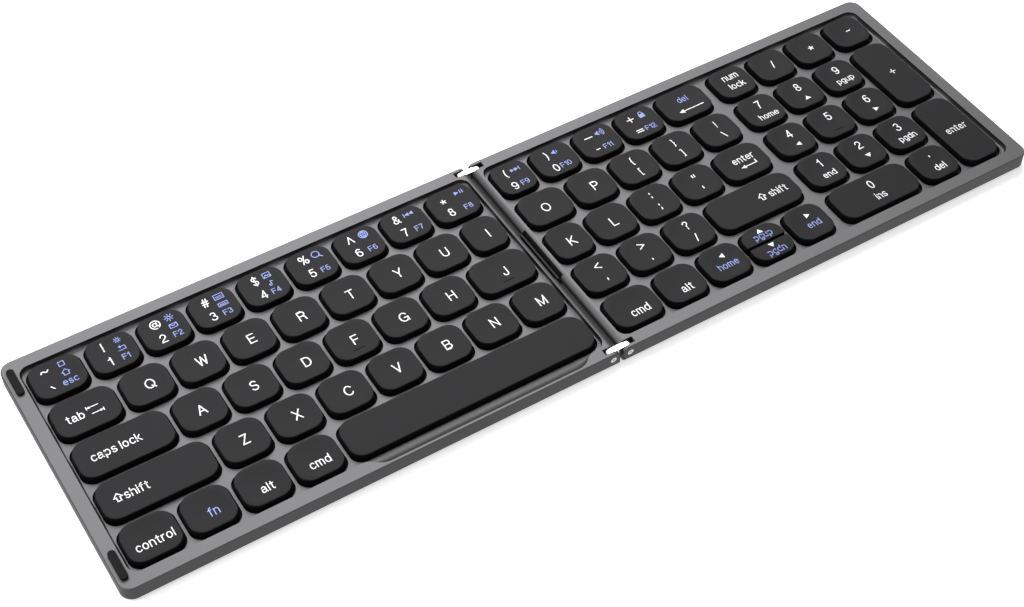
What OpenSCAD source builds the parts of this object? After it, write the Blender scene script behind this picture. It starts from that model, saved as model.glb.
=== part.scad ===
// Folding keyboard: two shallow metal trays on a two-axis hinge, with 81 scissor keys.
// The origin is the middle of the unfolded footprint, on the surface that the feet stand on.
// +X runs to the number pad, +Y to the rear edge and +Z up. All sizes are in millimetres.

/* [Trays] */
// Length of the unfolded keyboard
total_l = 328.2; // [326:0.2:340]
// Depth from the front edge to the rear edge
body_d = 93.8; // [93.4:0.2:98]
// Thickness of a tray without its feet
body_h = 5.3; // [5.2:0.1:6]
// Radius of the outer corners seen from above
corner_r = 4; // [3:0.5:6]
// Bevel along the outer edges of a tray
edge_bevel = 0.35; // [0.1:0.05:0.6]
// Width of the raised rim
rim_w = 4.5; // [4.3:0.1:4.8]
// Depth of the recessed deck below the rim
well_depth = 1.8; // [1.6:0.1:2]
// Corner radius of the recess
well_r = 3.5; // [2.5:0.5:4]
// Thickness of the deck plate
deck_t = 0.9; // [0.7:0.1:1]
// Thickness of the bottom cover
cover_t = 0.5; // [0.4:0.05:0.6]
// Width of the tray's edge round the bottom cover
cover_lip = 1; // [0.8:0.1:1.2]

/* [Hinge] */
// Distance between the two hinge axes
pin_spacing = 6.2; // [6:0.1:6.6]
// Depth of the hinge axes below the rim, which is also the radius of the rounded tray ends
pin_depth = 2.6; // [2.5:0.05:2.7]
// Diameter of a hinge pin
pin_d = 2.1; // [1.6:0.1:2.2]
// Diameter of the socket in a pin's outer end
pin_socket_d = 1.1; // [0.8:0.1:1.2]
// Thickness of a hinge link
link_w = 1.8; // [1.4:0.1:1.9]
// End radius of a hinge link
link_r = 2; // [1.7:0.05:2]
// Distance from the outer edge to the middle of a link
link_inset = 2.4; // [2.3:0.05:2.5]
// Width of the ridge between the hinge face and the recess
ridge_w = 2.4; // [2.2:0.1:2.6]
// Length of the flexible cable's sheath
sheath_l = 22.4; // [16:0.2:30]
// Distance of the sheath's middle behind the keyboard's middle line
sheath_y = 0.5; // [-4:0.5:4]

/* [Keys] */
// Column pitch of the letter keys
col_pitch = 17; // [16.8:0.1:17]
// Row pitch
row_pitch = 16.8; // [16.6:0.05:16.8]
// Gap between the top faces of neighbouring keys in a row
gap_x = 2.3; // [2.2:0.1:2.8]
// Gap between the top faces of neighbouring rows
gap_y = 2.8; // [2.6:0.1:3.2]
// Corner radius of a key's top face
face_r = 3.3; // [2.5:0.1:3.6]
// How far a key's shoulder stands out from its top face
shoulder = 0.3; // [0.15:0.05:0.35]
// How far a key's skirt stands out from its top face
flare = 0.5; // [0.4:0.05:0.55]
// Height of the rounded edge of a key's top
edge_drop = 0.4; // [0.2:0.05:0.5]
// Height of the key tops above the rim
key_rise = 0.3; // [0.1:0.05:0.35]
// Depth of a key's skirt below the deck surface
skirt_sink = 0.35; // [0.2:0.05:0.4]
// Thickness of a keycap's top
cap_t = 1.2; // [1:0.05:1.3]
// Wall of a keycap
cap_wall = 1; // [0.7:0.1:1.1]
// Depth of the finger dish in a small key
dish_depth = 0.25; // [0.1:0.05:0.35]
// Travel of a key
travel = 1.2; // [0.8:0.1:1.2]
// Clearance between a key's skirt and its window in the deck
window_gap = 0.2; // [0.15:0.05:0.25]
// Distance from the hinge line to the nearest key cells
hinge_margin = 3.2; // [3.15:0.05:3.4]
// Right end of the letter block
main_end = 89.35; // [88.6:0.05:90]
// Left end of the number pad
pad_start = 91.5; // [91:0.05:92]
// Gap between the two half-height arrow keys
arrow_split = 1; // [0.8:0.1:1.2]
// Length of the raised bar on a homing key
homing_l = 3.6; // [2:0.2:5]

/* [Thumb scoop] */
// Left end of the scoop in front of the space bar
scoop_x0 = -88; // [-90:0.5:-80]
// Right end of the scoop
scoop_x1 = -6.6; // [-16:0.1:-6.6]
// Length of each curved end of the scoop
scoop_run = 8.5; // [7:0.5:12]
// Width of the thin rim left in front of the scoop
scoop_rim = 1; // [0.8:0.1:1.3]

/* [Fittings] */
// Height of the rubber feet
foot_h = 0.8; // [0.5:0.1:1.5]
// Diameter of a rubber foot
foot_d = 7; // [5:0.5:9]
// Depth of a foot's seat in the bottom cover
foot_seat = 0.2; // [0.1:0.05:0.25]
// Width of a rim bumper
bumper_w = 2.4; // [1.6:0.1:2.6]
// Length of a rim bumper
bumper_l = 10.6; // [6:0.2:14]
// Distance of the bumpers' middles from the front and rear edges
bumper_y = 9.1; // [8.9:0.2:14]
// Head diameter of a cover screw
screw_head_d = 2.8; // [2.2:0.1:3]
// Shank diameter of a cover screw
screw_d = 1.4; // [1:0.1:1.6]
// Length of a cover screw
screw_l = 2.8; // [2:0.1:2.9]
// Width of the charging socket's shell
port_w = 8.9; // [8:0.1:9.4]
// Height of the charging socket's shell
port_h = 3.2; // [2.6:0.1:3.3]
// Distance of the charging socket from the right end
port_x = 52.1; // [36.1:0.5:64.1]
// Length of a closing magnet
magnet_l = 12; // [6:0.5:16]

/* [Inside] */
// Thickness of the key plate
plate_t = 0.25; // [0.2:0.05:0.3]
// Thickness of the switch membrane
membrane_t = 0.15; // [0.1:0.05:0.2]
// Space between the bottom cover and the key plate
cell_space = 1; // [1:0.05:1.1]
// Length of the battery
cell_l = 78; // [40:1:90]
// Depth of the battery
cell_d = 52; // [30:1:70]
// Length of the circuit board
board_l = 62; // [40:1:70]
// Depth of the circuit board
board_d = 26; // [16:1:34]

/* [Hidden] */
$fn = 64;

// Names
LETTERS_LEFT = ["q", "w", "e", "r", "t", "y", "u", "i", "a", "s", "d", "f", "g", "h", "j",
                "z", "x", "c", "v", "b", "n", "m"];
LETTERS_RIGHT = ["o", "p", "k", "l"];
KEY_GROUPS = [
    ["left_number_keys", ["esc", "1", "2", "3", "4", "5", "6", "7", "8"]],
    ["left_modifier_keys", ["tab", "caps", "shift_l", "control", "fn", "alt_l", "cmd_l"]],
    ["right_number_keys", ["9", "0", "minus", "equal", "delete"]],
    ["right_side_keys", ["bracket_l", "bracket_r", "backslash", "semicolon", "quote", "enter",
                         "comma", "dot", "slash", "shift_r", "cmd_r", "alt_r"]],
    ["arrow_keys", ["left", "up", "down", "right"]],
    ["number_pad_keys", ["num", "divide", "times", "subtract", "n7", "n8", "n9", "n4", "n5", "n6",
                         "n1", "n2", "n3", "n0", "decimal", "add", "pad_enter"]]
];
LETTERS = concat(LETTERS_LEFT, LETTERS_RIGHT);

// Heights
z_bottom = foot_h;
z_rim = z_bottom + body_h;
z_deck = z_rim - well_depth;
z_key = z_rim + key_rise;
z_pin = z_rim - pin_depth;
z_cover = z_bottom + cover_t;
z_plate = z_cover + cell_space;
z_membrane = z_plate + plate_t;
z_inside = z_membrane + membrane_t;
z_ceiling = z_key - cap_t;

// Outline of a half
half_x = total_l / 2;
half_y = body_d / 2;
pin_x = pin_spacing / 2;
face_x = pin_x - pin_depth;
well_x0 = face_x + ridge_w;
well_x1 = half_x - rim_w;
well_y = half_y - rim_w;
slip = 0.05;
cut = 1;

// Hinge fits
pin_seat_gap = 0.02;
pin_run_gap = 0.04;
slot_side = 0.2;
slot_end = 0.3;
link_y = half_y - link_inset;
pin_setback = 0.1;
pin_reach = 0.7;
pin_socket_depth = 0.6;
pin_y0 = link_y - link_w / 2 - slot_side - pin_reach;
pin_y1 = half_y - pin_setback;
mouth_x = pin_x - 1.5;
mouth_gap = 0.2;
fold_gap = 2 * face_x;
sheath_top = 1.1;
sheath_web = 0.35;
sheath_flange = 0.8;
sheath_side_gap = 0.15;
sheath_floor_gap = 0.1;

// Bottom cover and pocket
pocket_in = 0.4;
cover_gap = 0.1;
cover_x0 = face_x + 1.7;
sheet_gap = 0.25;
screw_near = 9;
screw_mid = 84;
screw_far_inset = 9.1;
screw_x = [screw_near, screw_mid, half_x - screw_far_inset];
screw_sink = 0.35;
hex_d = 1.1;
hex_depth = 0.3;
foot_bevel = 0.3;
foot_near = 20;
foot_far_inset = 16.1;
foot_edge_inset = 10.9;
foot_x = [foot_near, half_x - foot_far_inset];
foot_y = half_y - foot_edge_inset;
post_x = [10, 50, 90, 130];
post_d = 1.1;
post_hole_gap = 0.25;

// Rows and columns of keys, counted from the rear row to the front row
field_gap = 0.6;
field_x = well_x1 - field_gap;
row_end_gap = 0.4;
field_y = well_y - row_end_gap;
left_first = [18.5, 22.2, 31.7, 37.4, 18.5];
right_first = [15.2, 18.95, 15.45, 17.2, 19];
left_rows = [
    ["esc", "1", "2", "3", "4", "5", "6", "7", "8"],
    ["tab", "q", "w", "e", "r", "t", "y", "u", "i"],
    ["caps", "a", "s", "d", "f", "g", "h", "j"],
    ["shift_l", "z", "x", "c", "v", "b", "n", "m"],
    ["control", "fn", "alt_l", "cmd_l", "space"]
];
right_rows = [
    ["9", "0", "minus", "equal", "delete"],
    ["o", "p", "bracket_l", "bracket_r", "backslash"],
    ["k", "l", "semicolon", "quote", "enter"],
    ["comma", "dot", "slash", "shift_r"],
    ["cmd_r", "alt_r", "left", "up", "right"]
];
// Number pad keys: name, first column, first row, columns wide, rows deep
pad_keys = [
    ["num", 0, 0, 1, 1], ["divide", 1, 0, 1, 1], ["times", 2, 0, 1, 1], ["subtract", 3, 0, 1, 1],
    ["n7", 0, 1, 1, 1], ["n8", 1, 1, 1, 1], ["n9", 2, 1, 1, 1], ["add", 3, 1, 1, 2],
    ["n4", 0, 2, 1, 1], ["n5", 1, 2, 1, 1], ["n6", 2, 2, 1, 1],
    ["n1", 0, 3, 1, 1], ["n2", 1, 3, 1, 1], ["n3", 2, 3, 1, 1], ["pad_enter", 3, 3, 1, 2],
    ["n0", 0, 4, 2, 1], ["decimal", 2, 4, 1, 1]
];
pad_pitch = (field_x - pad_start) / 4;

// Left boundary of key i in a row of count keys that runs from x0 to x1
function row_edge(i, count, x0, first, x1) = i == 0 ? x0 : i == count ? x1 : x0 + first + (i - 1) * col_pitch;
// Rear boundary of a row: the outer rows reach to the recess, the others follow the pitch
function row_top(row) = row == 0 ? field_y : row == 5 ? -field_y : (2.5 - row) * row_pitch;
// Top face of the key in a cell, as [x0, x1, y0, y1]
function face(x0, x1, row, deep = 1) =
    [x0 + gap_x / 2, x1 - gap_x / 2, row_top(row + deep) + gap_y / 2, row_top(row) - gap_y / 2];

left_faces = [for (row = [0:4]) let (names = left_rows[row], n = len(names)) for (i = [0:n - 1])
    [names[i], face(row_edge(i, n, -field_x, left_first[row], -hinge_margin),
                    row_edge(i + 1, n, -field_x, left_first[row], -hinge_margin), row)]];
main_faces = [for (row = [0:4]) let (names = right_rows[row], n = len(names)) for (i = [0:n - 1])
    [names[i], face(row_edge(i, n, hinge_margin, right_first[row], main_end),
                    row_edge(i + 1, n, hinge_margin, right_first[row], main_end), row)]];
pad_faces = [for (k = pad_keys)
    [k[0], face(pad_start + k[1] * pad_pitch, pad_start + (k[1] + k[3]) * pad_pitch, k[2], k[4])]];
right_faces = concat(main_faces, pad_faces);
faces = concat(left_faces, right_faces);

function face_of(name) = [for (f = faces) if (f[0] == name) f[1]][0];
function mid_x(f) = (f[0] + f[1]) / 2;
function mid_y(f) = (f[2] + f[3]) / 2;
function wide(f) = f[1] - f[0];
function deep(f) = f[3] - f[2];
// The rear or front part of a face that is split into two half-height keys
function split_face(f, side) = side > 0 ? [f[0], f[1], mid_y(f) + arrow_split / 2, f[3]]
                                        : [f[0], f[1], f[2], mid_y(f) - arrow_split / 2];

// Keycap and mechanism details
small_key = 20;
dish_margin = 1.2;
homing_keys = ["f", "j", "n5"];
homing_r = 0.3;
homing_forward = 4.2;
homing_sink = 0.15;
hollow_r = 1.5;
boss_d = 4.2;
boss_h = 0.4;
dome_r = 2.4;
split_dome_gap = 0.85;
dome_wall = 0.3;
dome_lip = 0.25;
dome_gap = 0.05;
lever_t = 0.55;
lever_l = 9;
outer_lever_w = 9.2;
outer_window_w = 7.6;
inner_lever_w = 7.2;
inner_window_w = 5.4;
lever_window_l = 6.4;
lever_gap = 0.08;
lever_mid = (z_inside + z_ceiling) / 2;
lever_rise = (z_ceiling - z_inside) / 2 - lever_t / 2 - lever_gap;
lever_angle = asin(2 * lever_rise / lever_l);
scissor_depth = 10;

// Other fittings
bumper_set_in = 2.6;
bumper_seat = 0.4;
bumper_slack = 0.1;
magnet_w = 2.4;
magnet_h = 1.5;
magnet_y = 20;
port_wall = 0.3;
port_depth = 4;
port_recess = 0.1;
port_wall_left = rim_w - port_recess - port_depth;
port_lead_w = 5;
z_port = z_bottom + body_h / 2;
tongue_w = 6.6;
tongue_t = 0.7;
tongue_l = 3;
cell_gap = 0.05;
cell_end_gap = 11.2;
cell_end = well_x1 - pocket_in - cell_end_gap;
cell_corner_r = 2;
port_at = half_x - port_x;
board_t = 0.4;
chip_h = 0.4;

// Flat shapes

module round_rect(x0, x1, y0, y1, r) {
    translate([x0 + r, y0]) square([x1 - x0 - 2 * r, y1 - y0]);
    translate([x0, y0 + r]) square([x1 - x0, y1 - y0 - 2 * r]);
    for (x = [x0 + r, x1 - r], y = [y0 + r, y1 - r])
        translate([x, y]) circle(r);
}

module stadium(l, w) {
    square([l - w, w], center = true);
    for (side = [-1, 1])
        translate([side * (l - w) / 2, 0]) circle(w / 2);
}

// Block with round corners whose side follows a profile of [corner radius, height] points
module profile_block(core_x, core_y, profile) {
    last = len(profile) - 1;
    function outline(half) = concat([for (p = profile) [half + p[0], p[1]]],
                                    [for (i = [last:-1:0]) [-half - profile[i][0], profile[i][1]]]);
    rotate([90, 0, 0]) linear_extrude(core_y, center = true) polygon(outline(core_x / 2));
    rotate([90, 0, 90]) linear_extrude(core_x, center = true) polygon(outline(core_y / 2));
    for (x = [-1, 1], y = [-1, 1])
        translate([x * core_x / 2, y * core_y / 2])
            rotate_extrude() polygon(concat([[0, profile[0][1]]], profile, [[0, profile[last][1]]]));
}

// Keys

// Skirt, shoulder and rounded top edge of a keycap
module cap_body(f) {
    profile = [[face_r + flare, z_deck - skirt_sink], [face_r + shoulder, z_key - edge_drop], [face_r, z_key]];
    translate([mid_x(f), mid_y(f)])
        profile_block(wide(f) - 2 * face_r, deep(f) - 2 * face_r, profile);
}

// Shallow dish for the fingertip
module dish(f) {
    span = min(wide(f), deep(f)) - dish_margin;
    ball_r = (span * span / 4 + dish_depth * dish_depth) / (2 * dish_depth);
    translate([mid_x(f), mid_y(f), z_key - dish_depth + ball_r]) sphere(ball_r, $fn = 200);
}

// Hollow under a keycap
module cap_hollow(f, grow = flare) {
    inset = cap_wall - grow;
    translate([0, 0, z_deck - skirt_sink - cut]) linear_extrude(z_ceiling - z_deck + skirt_sink + cut)
        round_rect(f[0] + inset, f[1] - inset, f[2] + inset, f[3] - inset, hollow_r);
}

// Boss that pushes the dome down
module cap_boss(f) {
    translate([mid_x(f), mid_y(f), z_ceiling - boss_h]) cylinder(d = boss_d, h = boss_h + slip);
}

module homing_bar(f) {
    translate([mid_x(f), mid_y(f) - homing_forward, z_key - homing_sink - homing_r / 2])
        rotate([0, 90, 0]) {
            cylinder(r = homing_r, h = homing_l, center = true);
            for (side = [-1, 1])
                translate([0, 0, side * homing_l / 2]) sphere(homing_r, $fn = 24);
        }
}

module keycap(name) {
    f = face_of(name);
    color("#2d2e30") {
        difference() {
            cap_body(f);
            if (wide(f) < small_key && deep(f) < small_key) dish(f);
            cap_hollow(f);
        }
        cap_boss(f);
        if (len([for (other = homing_keys) if (other == name) other]) > 0) homing_bar(f);
    }
}

// One of the two half-height arrow keys that share a cell
module half_keycap(side) {
    whole = face_of("up");
    f = split_face(whole, side);
    y0 = side > 0 ? f[2] : f[2] - cut;
    hollow = side > 0 ? [f[0], f[1], f[2] + flare, f[3]] : [f[0], f[1], f[2], f[3] - flare];
    color("#2d2e30") {
        difference() {
            intersection() {
                cap_body(whole);
                translate([f[0] - cut, y0, 0]) cube([wide(f) + 2 * cut, deep(f) + cut, z_key + cut]);
            }
            cap_hollow(hollow);
        }
        cap_boss(f);
    }
}

module key_group(names) {
    for (name = names) {
        if (name == "up") half_keycap(1);
        else if (name == "down") half_keycap(-1);
        else keycap(name);
    }
}

// Places of the rubber domes: one under each key, two under the split arrow cell
function dome_faces(list) = [for (f = list) each f[0] == "up" ? [split_face(f[1], 1), split_face(f[1], -1)] : [f[1]]];

module dome(r) {
    top = z_ceiling - boss_h - dome_gap - z_inside;
    rotate_extrude() polygon([
        [r - dome_wall, 0], [r, 0], [r, dome_lip], [r / 2, top - dome_wall],
        [r / 2, top], [0, top], [0, top - 2 * dome_wall], [r / 2 - dome_wall, top - 2 * dome_wall]
    ]);
}

module domes(list) {
    color("#d9d9d4")
        for (f = dome_faces(list))
            translate([mid_x(f), mid_y(f), z_inside]) dome(min(dome_r, deep(f) / 2 - split_dome_gap));
}

// One lever of a scissor: a flat frame tilted about its middle
module lever(w, window_w, tilt) {
    rotate([tilt, 0, 0]) difference() {
        cube([w, lever_l * cos(lever_angle), lever_t], center = true);
        cube([window_w, lever_window_l, lever_t + cut], center = true);
    }
}

module scissors(list) {
    color("#ececea")
        for (f = list)
            if (deep(f[1]) > scissor_depth && f[0] != "up")
                translate([mid_x(f[1]), mid_y(f[1]), lever_mid]) {
                    lever(outer_lever_w, outer_window_w, lever_angle);
                    lever(inner_lever_w, inner_window_w, -lever_angle);
                }
}

// Trays

// Outline of a half seen from above, drawn at +X
module tray_blank() {
    core_r = corner_r - edge_bevel;
    profile = [[core_r, z_bottom], [corner_r, z_bottom + edge_bevel], [corner_r, z_rim - edge_bevel], [core_r, z_rim]];
    intersection() {
        profile_block(total_l - 2 * corner_r, body_d - 2 * corner_r, profile);
        translate([pin_x, -half_y - cut, 0]) cube([half_x, body_d + 2 * cut, z_rim + cut]);
    }
    translate([pin_x, 0, z_pin]) rotate([90, 0, 0]) {
        cylinder(r = pin_depth, h = body_d - 2 * edge_bevel, center = true);
        for (side = [0, 1])
            mirror([0, 0, side]) translate([0, 0, half_y - edge_bevel])
                cylinder(r1 = pin_depth, r2 = pin_depth - edge_bevel, h = edge_bevel);
    }
    translate([face_x, -half_y + edge_bevel, z_bottom])
        cube([pin_x - face_x + slip, body_d - 2 * edge_bevel, z_pin - z_bottom]);
    translate([face_x + edge_bevel, -half_y, z_bottom + edge_bevel])
        cube([pin_x - face_x - edge_bevel + slip, body_d, z_pin - z_bottom - edge_bevel]);
}

module link_slots() {
    for (side = [-1, 1])
        translate([face_x - cut, side * link_y - link_w / 2 - slot_side, z_cover])
            cube([cut + pin_x + link_r + slot_end - face_x, link_w + 2 * slot_side, z_rim]);
}

module pin_bores() {
    for (side = [0, 1])
        mirror([0, side, 0]) translate([pin_x, pin_y0 - slip, z_pin])
            rotate([-90, 0, 0]) cylinder(d = pin_d + 2 * pin_seat_gap, h = half_y - pin_y0 + cut);
}

// Opening in the ridge that the cable sheath passes through
module sheath_mouth() {
    translate([face_x - cut, sheath_y - sheath_l / 2 - mouth_gap, 0])
        cube([cut + mouth_x - face_x, sheath_l + 2 * mouth_gap, z_rim + cut]);
}

module well() {
    translate([0, 0, z_deck]) linear_extrude(well_depth + cut)
        round_rect(well_x0, well_x1, -well_y, well_y, well_r);
}

module inside_outline(inset) {
    round_rect(well_x0 + inset, well_x1 - inset, -well_y + inset, well_y - inset, well_r - pocket_in);
}

module pocket() {
    translate([0, 0, 0]) linear_extrude(z_deck - deck_t) inside_outline(pocket_in);
}

module cover_outline(gap) {
    r = corner_r - cover_lip;
    round_rect(cover_x0 + gap, half_x - cover_lip - gap, -half_y + cover_lip + gap, half_y - cover_lip - gap, r);
}

module cover_recess() {
    linear_extrude(z_cover) cover_outline(0);
}

module screw_places() {
    for (x = screw_x, side = [-1, 1])
        translate([x, side * (half_y - rim_w / 2)]) children();
}

module windows(list) {
    grow = flare + window_gap;
    for (f = list)
        translate([0, 0, z_deck - deck_t - cut]) linear_extrude(deck_t + 2 * cut)
            round_rect(f[1][0] - grow, f[1][1] + grow, f[1][2] - grow, f[1][3] + grow, face_r + grow);
}

module magnet_places() {
    for (side = [-1, 1])
        translate([half_x - bumper_set_in, side * magnet_y, z_cover]) children();
}

// Shell of a tray with everything that both halves share, drawn at +X
module tray_shell() {
    difference() {
        tray_blank();
        well();
        pocket();
        cover_recess();
        link_slots();
        pin_bores();
        sheath_mouth();
        screw_places() translate([0, 0, z_bottom]) cylinder(d = screw_d + 2 * slip, h = screw_l + 2 * slip);
        magnet_places() translate([0, 0, -cut])
            linear_extrude(cut + magnet_h + slip) square([magnet_w + 2 * slip, magnet_l + 2 * slip], center = true);
    }
}

module bumper_places() {
    for (side = [-1, 1])
        translate([-half_x + bumper_set_in, side * (half_y - bumper_y)]) rotate(90) children();
}

// Relief in the front rim for the thumbs: two curves at each end, drawn with equal radii
module scoop_outline() {
    y0 = -half_y + scoop_rim;
    fall = rim_w - scoop_rim;
    bend_r = (scoop_run * scoop_run + fall * fall) / (4 * fall);
    translate([scoop_x0 + scoop_run, y0]) square([scoop_x1 - scoop_x0 - 2 * scoop_run, fall + cut]);
    for (side = [0, 1])
        translate([side == 0 ? scoop_x0 : scoop_x1, 0]) mirror([side, 0]) {
            intersection() {
                translate([scoop_run, y0 + bend_r]) circle(bend_r);
                translate([scoop_run / 2, y0]) square([scoop_run / 2, fall + cut]);
            }
            difference() {
                translate([0, -well_y - fall / 2]) square([scoop_run / 2 + slip, fall / 2 + cut]);
                translate([0, -well_y - bend_r]) circle(bend_r);
            }
        }
}

module left_case() {
    color("#77787b") difference() {
        mirror([1, 0, 0]) tray_shell();
        windows(left_faces);
        translate([0, 0, z_deck]) linear_extrude(well_depth + cut) scoop_outline();
        bumper_places() translate([0, 0, z_rim - bumper_seat])
            linear_extrude(bumper_seat + cut) stadium(bumper_l + 2 * slip, bumper_w + 2 * slip);
    }
}

module right_case() {
    lead_cut = port_lead_w + 4 * slip;
    color("#77787b") difference() {
        tray_shell();
        windows(right_faces);
        port_place(half_y + cut) stadium(port_w + 4 * slip, port_h + 4 * slip);
        translate([port_at - lead_cut / 2, well_y - pocket_in - cut, z_bottom])
            cube([lead_cut, pocket_in + cut + port_wall_left + 2 * port_wall, z_port - z_bottom - port_h / 2 + 2 * port_wall]);
    }
}

// Bottom cover drawn at +X
module bottom_cover() {
    color("#6c6d70") difference() {
        translate([0, 0, z_bottom]) linear_extrude(cover_t - slip) cover_outline(cover_gap);
        screw_places() {
            translate([0, 0, z_bottom - slip])
                cylinder(d1 = screw_head_d + 4 * slip, d2 = screw_d + 4 * slip, h = screw_sink + 2 * slip);
            cylinder(d = screw_d + 4 * slip, h = z_cover + cut);
        }
        foot_places() translate([0, 0, -cut]) cylinder(d = foot_d + 2 * slip, h = z_bottom + foot_seat + cut);
    }
}

module foot_places() {
    for (x = foot_x, y = [-foot_y, foot_y])
        translate([x, y]) children();
}

module feet() {
    color("#1c1c1d") foot_places() {
        cylinder(d1 = foot_d - 2 * foot_bevel, d2 = foot_d, h = foot_bevel);
        translate([0, 0, foot_bevel]) cylinder(d = foot_d, h = z_bottom + foot_seat - foot_bevel);
    }
}

// Countersunk cover screws drawn at +X
module screws() {
    color("#3a3b3d") screw_places() translate([0, 0, z_bottom]) difference() {
        union() {
            cylinder(d1 = screw_head_d, d2 = screw_d, h = screw_sink);
            cylinder(d = screw_d, h = screw_l);
        }
        translate([0, 0, -slip]) cylinder(d = hex_d, h = hex_depth, $fn = 6);
    }
}

// Sheets inside a half, drawn at +X
module key_plate() {
    color("#9a9c9e") {
        translate([0, 0, z_plate]) linear_extrude(plate_t) inside_outline(pocket_in + sheet_gap);
        post_places() translate([0, 0, z_plate]) cylinder(d = post_d, h = z_deck - deck_t - z_plate);
    }
}

module post_places() {
    for (x = post_x, row = [1:4])
        translate([x, row_top(row)]) children();
}

module membrane() {
    color("#b9c7b8") difference() {
        translate([0, 0, z_membrane]) linear_extrude(membrane_t) inside_outline(pocket_in + sheet_gap);
        post_places() cylinder(d = post_d + 2 * post_hole_gap, h = z_inside + cut);
    }
}

module magnets() {
    color("#c6c8ca") magnet_places() linear_extrude(magnet_h) square([magnet_w, magnet_l], center = true);
}

// Hinge

// Pins seated in a tray, drawn at +X
module hinge_pins() {
    color("#d5d7d9") for (side = [0, 1])
        mirror([0, side, 0]) translate([pin_x, pin_y0, z_pin]) rotate([-90, 0, 0]) difference() {
            cylinder(d = pin_d, h = pin_y1 - pin_y0);
            translate([0, 0, pin_y1 - pin_y0 - pin_socket_depth]) cylinder(d = pin_socket_d, h = pin_socket_depth + cut);
        }
}

module hinge_link(side) {
    color("#e3e5e7") translate([0, side * link_y, z_pin]) rotate([90, 0, 0])
        linear_extrude(link_w, center = true) difference() {
            stadium(pin_spacing + 2 * link_r, 2 * link_r);
            for (end = [-1, 1])
                translate([end * pin_x, 0]) circle(d = pin_d + 2 * pin_run_gap);
        }
}

// Sheath of the flexible cable: a flange under the tray ends and a web between them
module cable_sheath() {
    flange_x = mouth_x - sheath_side_gap;
    z0 = z_bottom + sheath_floor_gap;
    z1 = z0 + sheath_flange;
    color("#161617") translate([0, sheath_y, 0]) rotate([90, 0, 0]) linear_extrude(sheath_l, center = true)
        polygon([
            [-flange_x, z0], [flange_x, z0], [flange_x, z1], [sheath_web, z1],
            [sheath_web, z_pin + sheath_top], [-sheath_web, z_pin + sheath_top],
            [-sheath_web, z1], [-flange_x, z1]
        ]);
}

// Parts of one half only

module bumpers() {
    rise = fold_gap - bumper_slack;
    color("#1a1a1b") bumper_places() translate([0, 0, z_rim - bumper_seat])
        linear_extrude(bumper_seat + rise) stadium(bumper_l, bumper_w);
}

module battery() {
    color("#b4b8bc") translate([0, 0, z_cover]) linear_extrude(cell_space - cell_gap)
        round_rect(-cell_end, cell_l - cell_end, -cell_d / 2, cell_d / 2, cell_corner_r);
}

module main_board() {
    y1 = well_y - pocket_in - 2 * sheet_gap;
    color("#1f4a33") {
        translate([port_at - board_l / 2, y1 - board_d, z_cover]) cube([board_l, board_d, board_t]);
        for (chip = [[-20, -8, 7, 7], [-4, -12, 9, 9], [14, -7, 5, 4], [22, -16, 3.2, 5]])
            translate([port_at + chip[0], y1 + chip[1] - chip[3], z_cover])
                cube([chip[2], chip[3], board_t + chip_h]);
    }
}

module port_place(y1) {
    translate([port_at, y1, z_port]) rotate([90, 0, 0])
        linear_extrude(y1 - half_y + port_recess + port_depth + slip) children();
}

module charging_port() {
    y1 = half_y - port_recess;
    color("#b9bbbd") translate([port_at, y1, z_port]) rotate([90, 0, 0]) difference() {
        linear_extrude(port_depth) stadium(port_w, port_h);
        translate([0, 0, -slip]) linear_extrude(port_depth - port_wall)
            difference() {
                stadium(port_w - 2 * port_wall, port_h - 2 * port_wall);
                square([tongue_w, tongue_t], center = true);
            }
        translate([0, 0, -cut]) linear_extrude(port_depth - tongue_l + cut - port_wall)
            square([tongue_w + slip, tongue_t + slip], center = true);
    }
    // Leads from the shell's back wall to the board
    color("#b9bbbd") translate([port_at - port_lead_w / 2, well_y - pocket_in - cut, z_cover + board_t])
        cube([port_lead_w, cut + pocket_in + port_wall_left + port_wall, port_wall]);
}

left_case();
mirror([1, 0, 0]) bottom_cover();  // left_bottom_cover
mirror([1, 0, 0]) key_plate();  // left_key_plate
mirror([1, 0, 0]) membrane();  // left_membrane
domes(left_faces);  // left_domes
scissors(left_faces);  // left_scissors
bumpers();  // left_bumpers
mirror([1, 0, 0]) feet();  // left_feet
mirror([1, 0, 0]) screws();  // left_screws
mirror([1, 0, 0]) hinge_pins();  // left_hinge_pins
mirror([1, 0, 0]) magnets();  // left_magnets
battery();
hinge_link(-1);  // front_hinge_link
hinge_link(1);  // rear_hinge_link
cable_sheath();
right_case();
bottom_cover();  // right_bottom_cover
key_plate();  // right_key_plate
membrane();  // right_membrane
domes(right_faces);  // right_domes
scissors(right_faces);  // right_scissors
feet();  // right_feet
screws();  // right_screws
hinge_pins();  // right_hinge_pins
magnets();  // right_magnets
main_board();
charging_port();
keycap("space");  // space_bar
for (letter = LETTERS) keycap(letter);
for (group = KEY_GROUPS) key_group(group[1]);
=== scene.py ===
import math

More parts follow.
